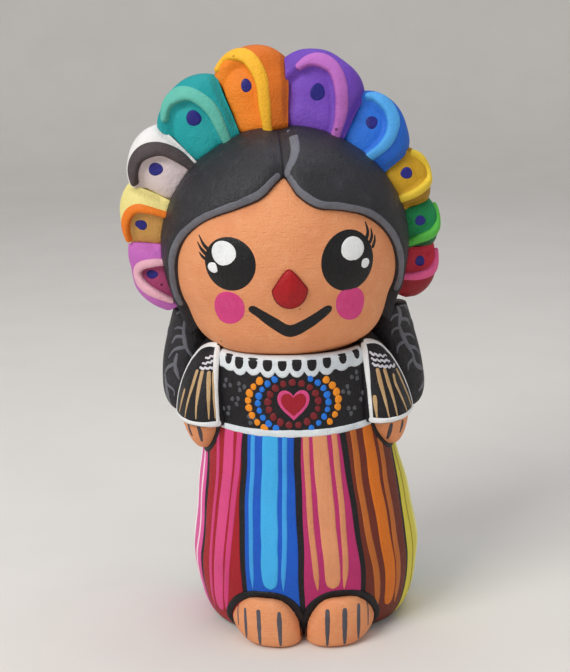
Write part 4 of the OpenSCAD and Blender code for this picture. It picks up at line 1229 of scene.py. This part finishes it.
rise = 0.32 * np.sqrt(np.clip(np.linspace(0, 6, q.shape[0]), 0, 1))[:, None] * np.ones(q.shape[:2])
rise[:, 0] = rise[:, -1] = rise[-1] = 0
coat("lace", lace_white, BLOUSE, solid(slab(q + qn * rise[..., None], q - qn * ON_TOP)))
for cx, cz in SCALLOPS:
    z = cz + 5.0 + BODY_H - DRAWN_H
    hole = np.array(LACE_HOLE) * rng.uniform(1.02, 1.18)
    where = body_pt(body_angle(cx - body_mid(z)[0], z), z)
    coat("lace_holes", charcoal, BLOUSE, blob(body_s, where, hole, high=0.14, lift=0.3, rings=2))


def chest(x, z):
    z = z + BODY_H - DRAWN_H
    return body_pt(body_angle(x - body_mid(z)[0], z), z)


coat("heart_edge", paint("heart_pink_acrylic", "d94a86", "c43b74", "e56d9d", rough=0.5), BLOUSE,
     blob(body_s, chest(-3.7, 106.0), heart(13.5, 13.2), high=0.2, rings=6))
coat("heart", paint("heart_red_acrylic", "a3182a", "8c1222", "b52437", rough=0.5), BLOUSE,
     blob(body_s, chest(-3.7, 106.1), heart(10.5, 10.0), high=0.16, lift=0.2, rings=6))
# rings of dots round the heart: colour, half width, half height, how many, their size, turn of the first
DOT_RINGS = [("7a2027", 10.6, 9.1, 17, 1.42, 0.1), ("2277dd", 14.8, 12.0, 24, 1.36, 0.0),
             ("f1921f", 19.0, 13.8, 27, 1.48, 0.05)]
for code, rx, rz, n, r, turn in DOT_RINGS:
    for t in np.linspace(0, 2 * math.pi, n + 1)[:-1] + turn:
        x0, z0 = -3.9 + rx * math.cos(t), 106.2 + rz * math.sin(t)
        if 95.6 < z0 < 116.6:
            size = r * rng.uniform(0.85, 1.15)
            coat("dots_" + code, paint("dot_" + code, code, rough=0.45), BLOUSE,
                 blob(body_s, chest(x0, z0), oval(size, size * 1.08, n=18, rough=0.04), high=0.3,
                      lift=0.02 if z0 < 115 else 0.25, rings=2))
CLUSTERS = [(-31.6, 113), (-25.6, 112.6), (-28.2, 106.4), (-32.2, 101.6), (-21.8, 99), (22.4, 115.2), (18.6, 110),
            (25.8, 106), (20.6, 101.4)]
for cx, cz in CLUSTERS:
    turn = rng.uniform(0, 2)
    for t in (0, 2.1, 4.2):
        x0, z0 = cx + 1.45 * math.cos(t + turn), cz + 1.5 * math.sin(t + turn)
        coat("grey_dots", paint("dim_grey_acrylic", "55565c", "45464b", "65666c"), BLOUSE,
             blob(body_s, chest(x0, z0), oval(0.95, 1.05, n=14, rough=0.07), high=0.16, rings=2))

# ---- sleeves and hems

pale_lilac = paint("pale_lilac_acrylic", "dcdce4", "b9bac6", "f2f2f6")
WAVES_AT = {-1: [((-40.6, 122.4), (-36.5, 124.1)), ((-42.0, 120.3), (-35.9, 122.2)), ((-43.1, 118.6), (-35.8, 119.5))],
            1: [((28.7, 123.5), (36.3, 120.6)), ((29.3, 121.2), (37.5, 118.7)), ((29.6, 119.2), (39.8, 116.0))]}
FINGERS = {-1: [[(-44.5, 94.5), (-43.8, 91), (-43.4, 86)], [(-49, 94.5), (-48.6, 91.5), (-47.6, 88)]],
           1: [[(37.6, 93.6), (37, 90), (36, 85)], [(42.6, 93.6), (42.4, 91), (41.4, 87.6)]]}
FOLDS = {-1: [[(-49.9, 109), (-51.4, 104), (-52.8, 98)], [(-44, 118), (-46.3, 111.5), (-50, 97.6)],
              [(-41.8, 118), (-44.7, 104), (-45, 98.3)], [(-39, 118), (-39.4, 108), (-39.5, 98.5)],
              [(-36.8, 118), (-36.9, 108), (-36.8, 98.5)]],
         1: [[(31.8, 117.6), (33.1, 111.5), (36.4, 97.2)], [(34.8, 117), (36.7, 110.6), (40, 97.1)],
             [(38.8, 114), (39.7, 110), (44.6, 96.7)], [(40.4, 114.6), (43.7, 107), (47, 96)],
             [(30.3, 107), (30.8, 101), (31.3, 96.8)]]}
for side, name in SIDES:
    s_ = Surface(limb_parts["sleeve" + name])
    grid = sleeve(side)[0]

    def on_sleeve(c, up):
        """Points of the sleeve's outside: c across from its outer edge, up from the hem to the shoulder."""
        rows_, cols_ = grid.shape[:2]
        return np.array([grid[int(round(u_ * (rows_ - 1))), int(round(c_ * (cols_ - 1)))] for c_, u_ in zip(c, up)])

    up = np.linspace(0.01, 0.97, 18)
    border = [(0.01, 0.27), (0.4, 0.28), (0.7, 0.32), (0.85, 0.4), (0.93, 0.56), (0.97, 0.9)]
    climb = np.linspace(0.01, 0.97, 30)
    coat("sleeve_trim", white_acrylic, "sleeve",
         stroke(s_, on_sleeve(curve(border, climb), climb), [1.9, 2.1, 2.3, 2.4], high=0.26, shake=0.04),
         stroke(s_, on_sleeve(np.full(18, 0.93), up), [1.7, 1.8, 2.0, 2.6, 3.0], high=0.26, shake=0.04),
         stroke(s_, on_sleeve(np.linspace(0.1, 0.97, 18), np.full(18, 0.03)), [2.1, 2.3, 2.3, 2.3],
                high=0.3, shake=0.05))
    for (x0, z0), (x1, z1) in WAVES_AT[side]:
        n = max(8, int(abs(x1 - x0) / 0.55))
        x, z = np.linspace(x0, x1, n), np.linspace(z0, z1, n) + 0.38 * np.sin(np.arange(n) * 1.9)
        coat("sleeve_waves", pale_lilac, "sleeve",
             stroke(s_, s_.front(np.column_stack([x, z])), [1.1, 1.1], high=0.2, shake=0.1))
    for fold in FOLDS[side]:
        coat("sleeve_folds", tan, "sleeve",
             stroke(s_, s_.front(fold), [1.7, 1.9, 1.6, 1.1, 0.5], high=0.18, shake=0.04))
    hand_s = Surface(limb_parts["hand" + name])
    for line in FINGERS[side]:
        coat("finger_lines", paint("finger_grey_acrylic", "4c464b", "3b363a", "5d575c"), "skin",
             stroke(hand_s, hand_s.front(line), [1.5, 2.0, 1.0], high=0.15))
    t = np.linspace(0, math.pi * 0.94, 30)
    hz = np.minimum(HEM_Z - 0.4, HEM_Z + HAND_TOP - (HAND_H + 0.8) * np.sin(t))
    ha = hand_angle(side, -1.08 * np.cos(t), np.sin(t))
    coat("hand_outline", charcoal, BLOUSE,
         stroke(body_s, body_pt(ha, hz), [2.2, 2.5, 2.4, 2.0, 1.4], high=0.45, lift=PANEL, shake=0.05))

hem_x = np.linspace(-35.2, 30.2, 16)
hem = [chest(x0, 93.5 + 1.0 * ((x0 + 2) / 30) ** 2) for x0 in hem_x]
back_hem = body_pt(np.linspace(6, 174, 40), HEM_Z - 0.9)
for line, widths in ((hem, [2.4, 2.8, 3.0, 3.0, 3.0, 2.8, 2.4]), (back_hem, [2.9])):
    coat("hem_band", lace_white, BLOUSE, stroke(body_s, line, widths, high=0.36, lift=0.2, shake=0.05))

for name, (mat, slot, parts) in coats.items():
    ob = finish_mesh("painted_" + name, join(parts), mat)

# ---- floor, light, camera


def studio():
    floor_mat = Nodes("pale_floor")
    grain = floor_mat.noise(14, 3.0, 0.5)
    floor_mat.link(floor_mat.mix(floor_mat.ramp(grain, 0.3, 0.7), srgb("e0dcd6"), srgb("e3dfd9")),
                   floor_mat.shader.inputs["Base Color"])
    floor_mat.shader.inputs["Roughness"].default_value = 0.85
    profile = [(0.4, 0.0), (0.8, 0.0), (1.2, 0.0), (1.38, 0.015), (1.52, 0.07), (1.62, 0.18), (1.67, 0.34), (1.7, 0.75)]
    around = np.linspace(0, 2 * math.pi, 65)[:-1]
    rings = np.array([[(r * math.cos(a), r * math.sin(a), z) for a in around] for r, z in profile])
    faces = grid_faces(len(profile), len(around), wrap=True)
    faces += [((k + 1) % len(around), k, rings.shape[0] * rings.shape[1]) for k in range(len(around))]
    mesh = bpy.data.meshes.new("floor_sweep")
    mesh.from_pydata([tuple(q) for q in rings.reshape(-1, 3)] + [(0.0, 0.0, 0.0)], [], faces)
    mesh.materials.append(floor_mat.mat)
    mesh.polygons.foreach_set("use_smooth", [True] * len(mesh.polygons))
    floor = bpy.data.objects.new("floor_sweep", mesh)
    bpy.context.scene.collection.objects.link(floor)

    def area(name, place, target, size, power, colour):
        light = bpy.data.lights.new(name, "AREA")
        light.shape = "RECTANGLE"
        light.size, light.size_y = size
        light.energy = power
        light.color = colour
        ob = bpy.data.objects.new(name, light)
        bpy.context.scene.collection.objects.link(ob)
        ob.location = place
        ob.rotation_euler = (Vector(target) - Vector(place)).to_track_quat("-Z", "Y").to_euler()

    area("key_window", (-0.75, -0.75, 1.05), (0, 0, 0.13), (0.7, 0.7), 12.6, (1.0, 0.985, 0.96))
    area("top_fill", (0.1, 0.15, 1.2), (0, 0, 0.15), (0.9, 0.9), 4.6, (0.97, 0.98, 1.0))
    area("right_fill", (0.9, -0.6, 0.5), (0, 0, 0.12), (0.6, 0.8), 1.2, (1.0, 0.97, 0.94))
    world = bpy.data.worlds.new("soft_world")
    bpy.context.scene.world = world
    world.use_nodes = True
    world.node_tree.nodes["Background"].inputs[0].default_value = (0.9, 0.93, 1.0, 1)
    world.node_tree.nodes["Background"].inputs[1].default_value = 0.34


LENS, SENSOR, SHIFT = 73.6607, 36.0, (-0.0238095, 0.0029762)


def camera():
    tilt, away, roll = math.radians(15.0), 0.6, math.radians(1.3)
    back = Vector((0, -math.cos(tilt), math.sin(tilt)))
    aim = Vector((0, 0, 0.125))
    right = Vector((1, 0, 0))
    up = right.cross(-back)
    r = math.cos(roll) * right - math.sin(roll) * up
    u = math.sin(roll) * right + math.cos(roll) * up
    data = bpy.data.cameras.new("camera")
    data.sensor_fit = "VERTICAL"
    data.sensor_height = data.sensor_width = SENSOR
    data.lens = LENS
    data.shift_x, data.shift_y = SHIFT
    data.clip_start = 0.05
    ob = bpy.data.objects.new("camera", data)
    bpy.context.scene.collection.objects.link(ob)
    ob.matrix_world = Matrix.Translation(aim + back * away) @ Matrix(
        ((r.x, u.x, back.x, 0), (r.y, u.y, back.y, 0), (r.z, u.z, back.z, 0), (0, 0, 0, 1)))
    bpy.context.scene.camera = ob


studio()
camera()
bpy.context.scene.view_settings.view_transform = "Standard"
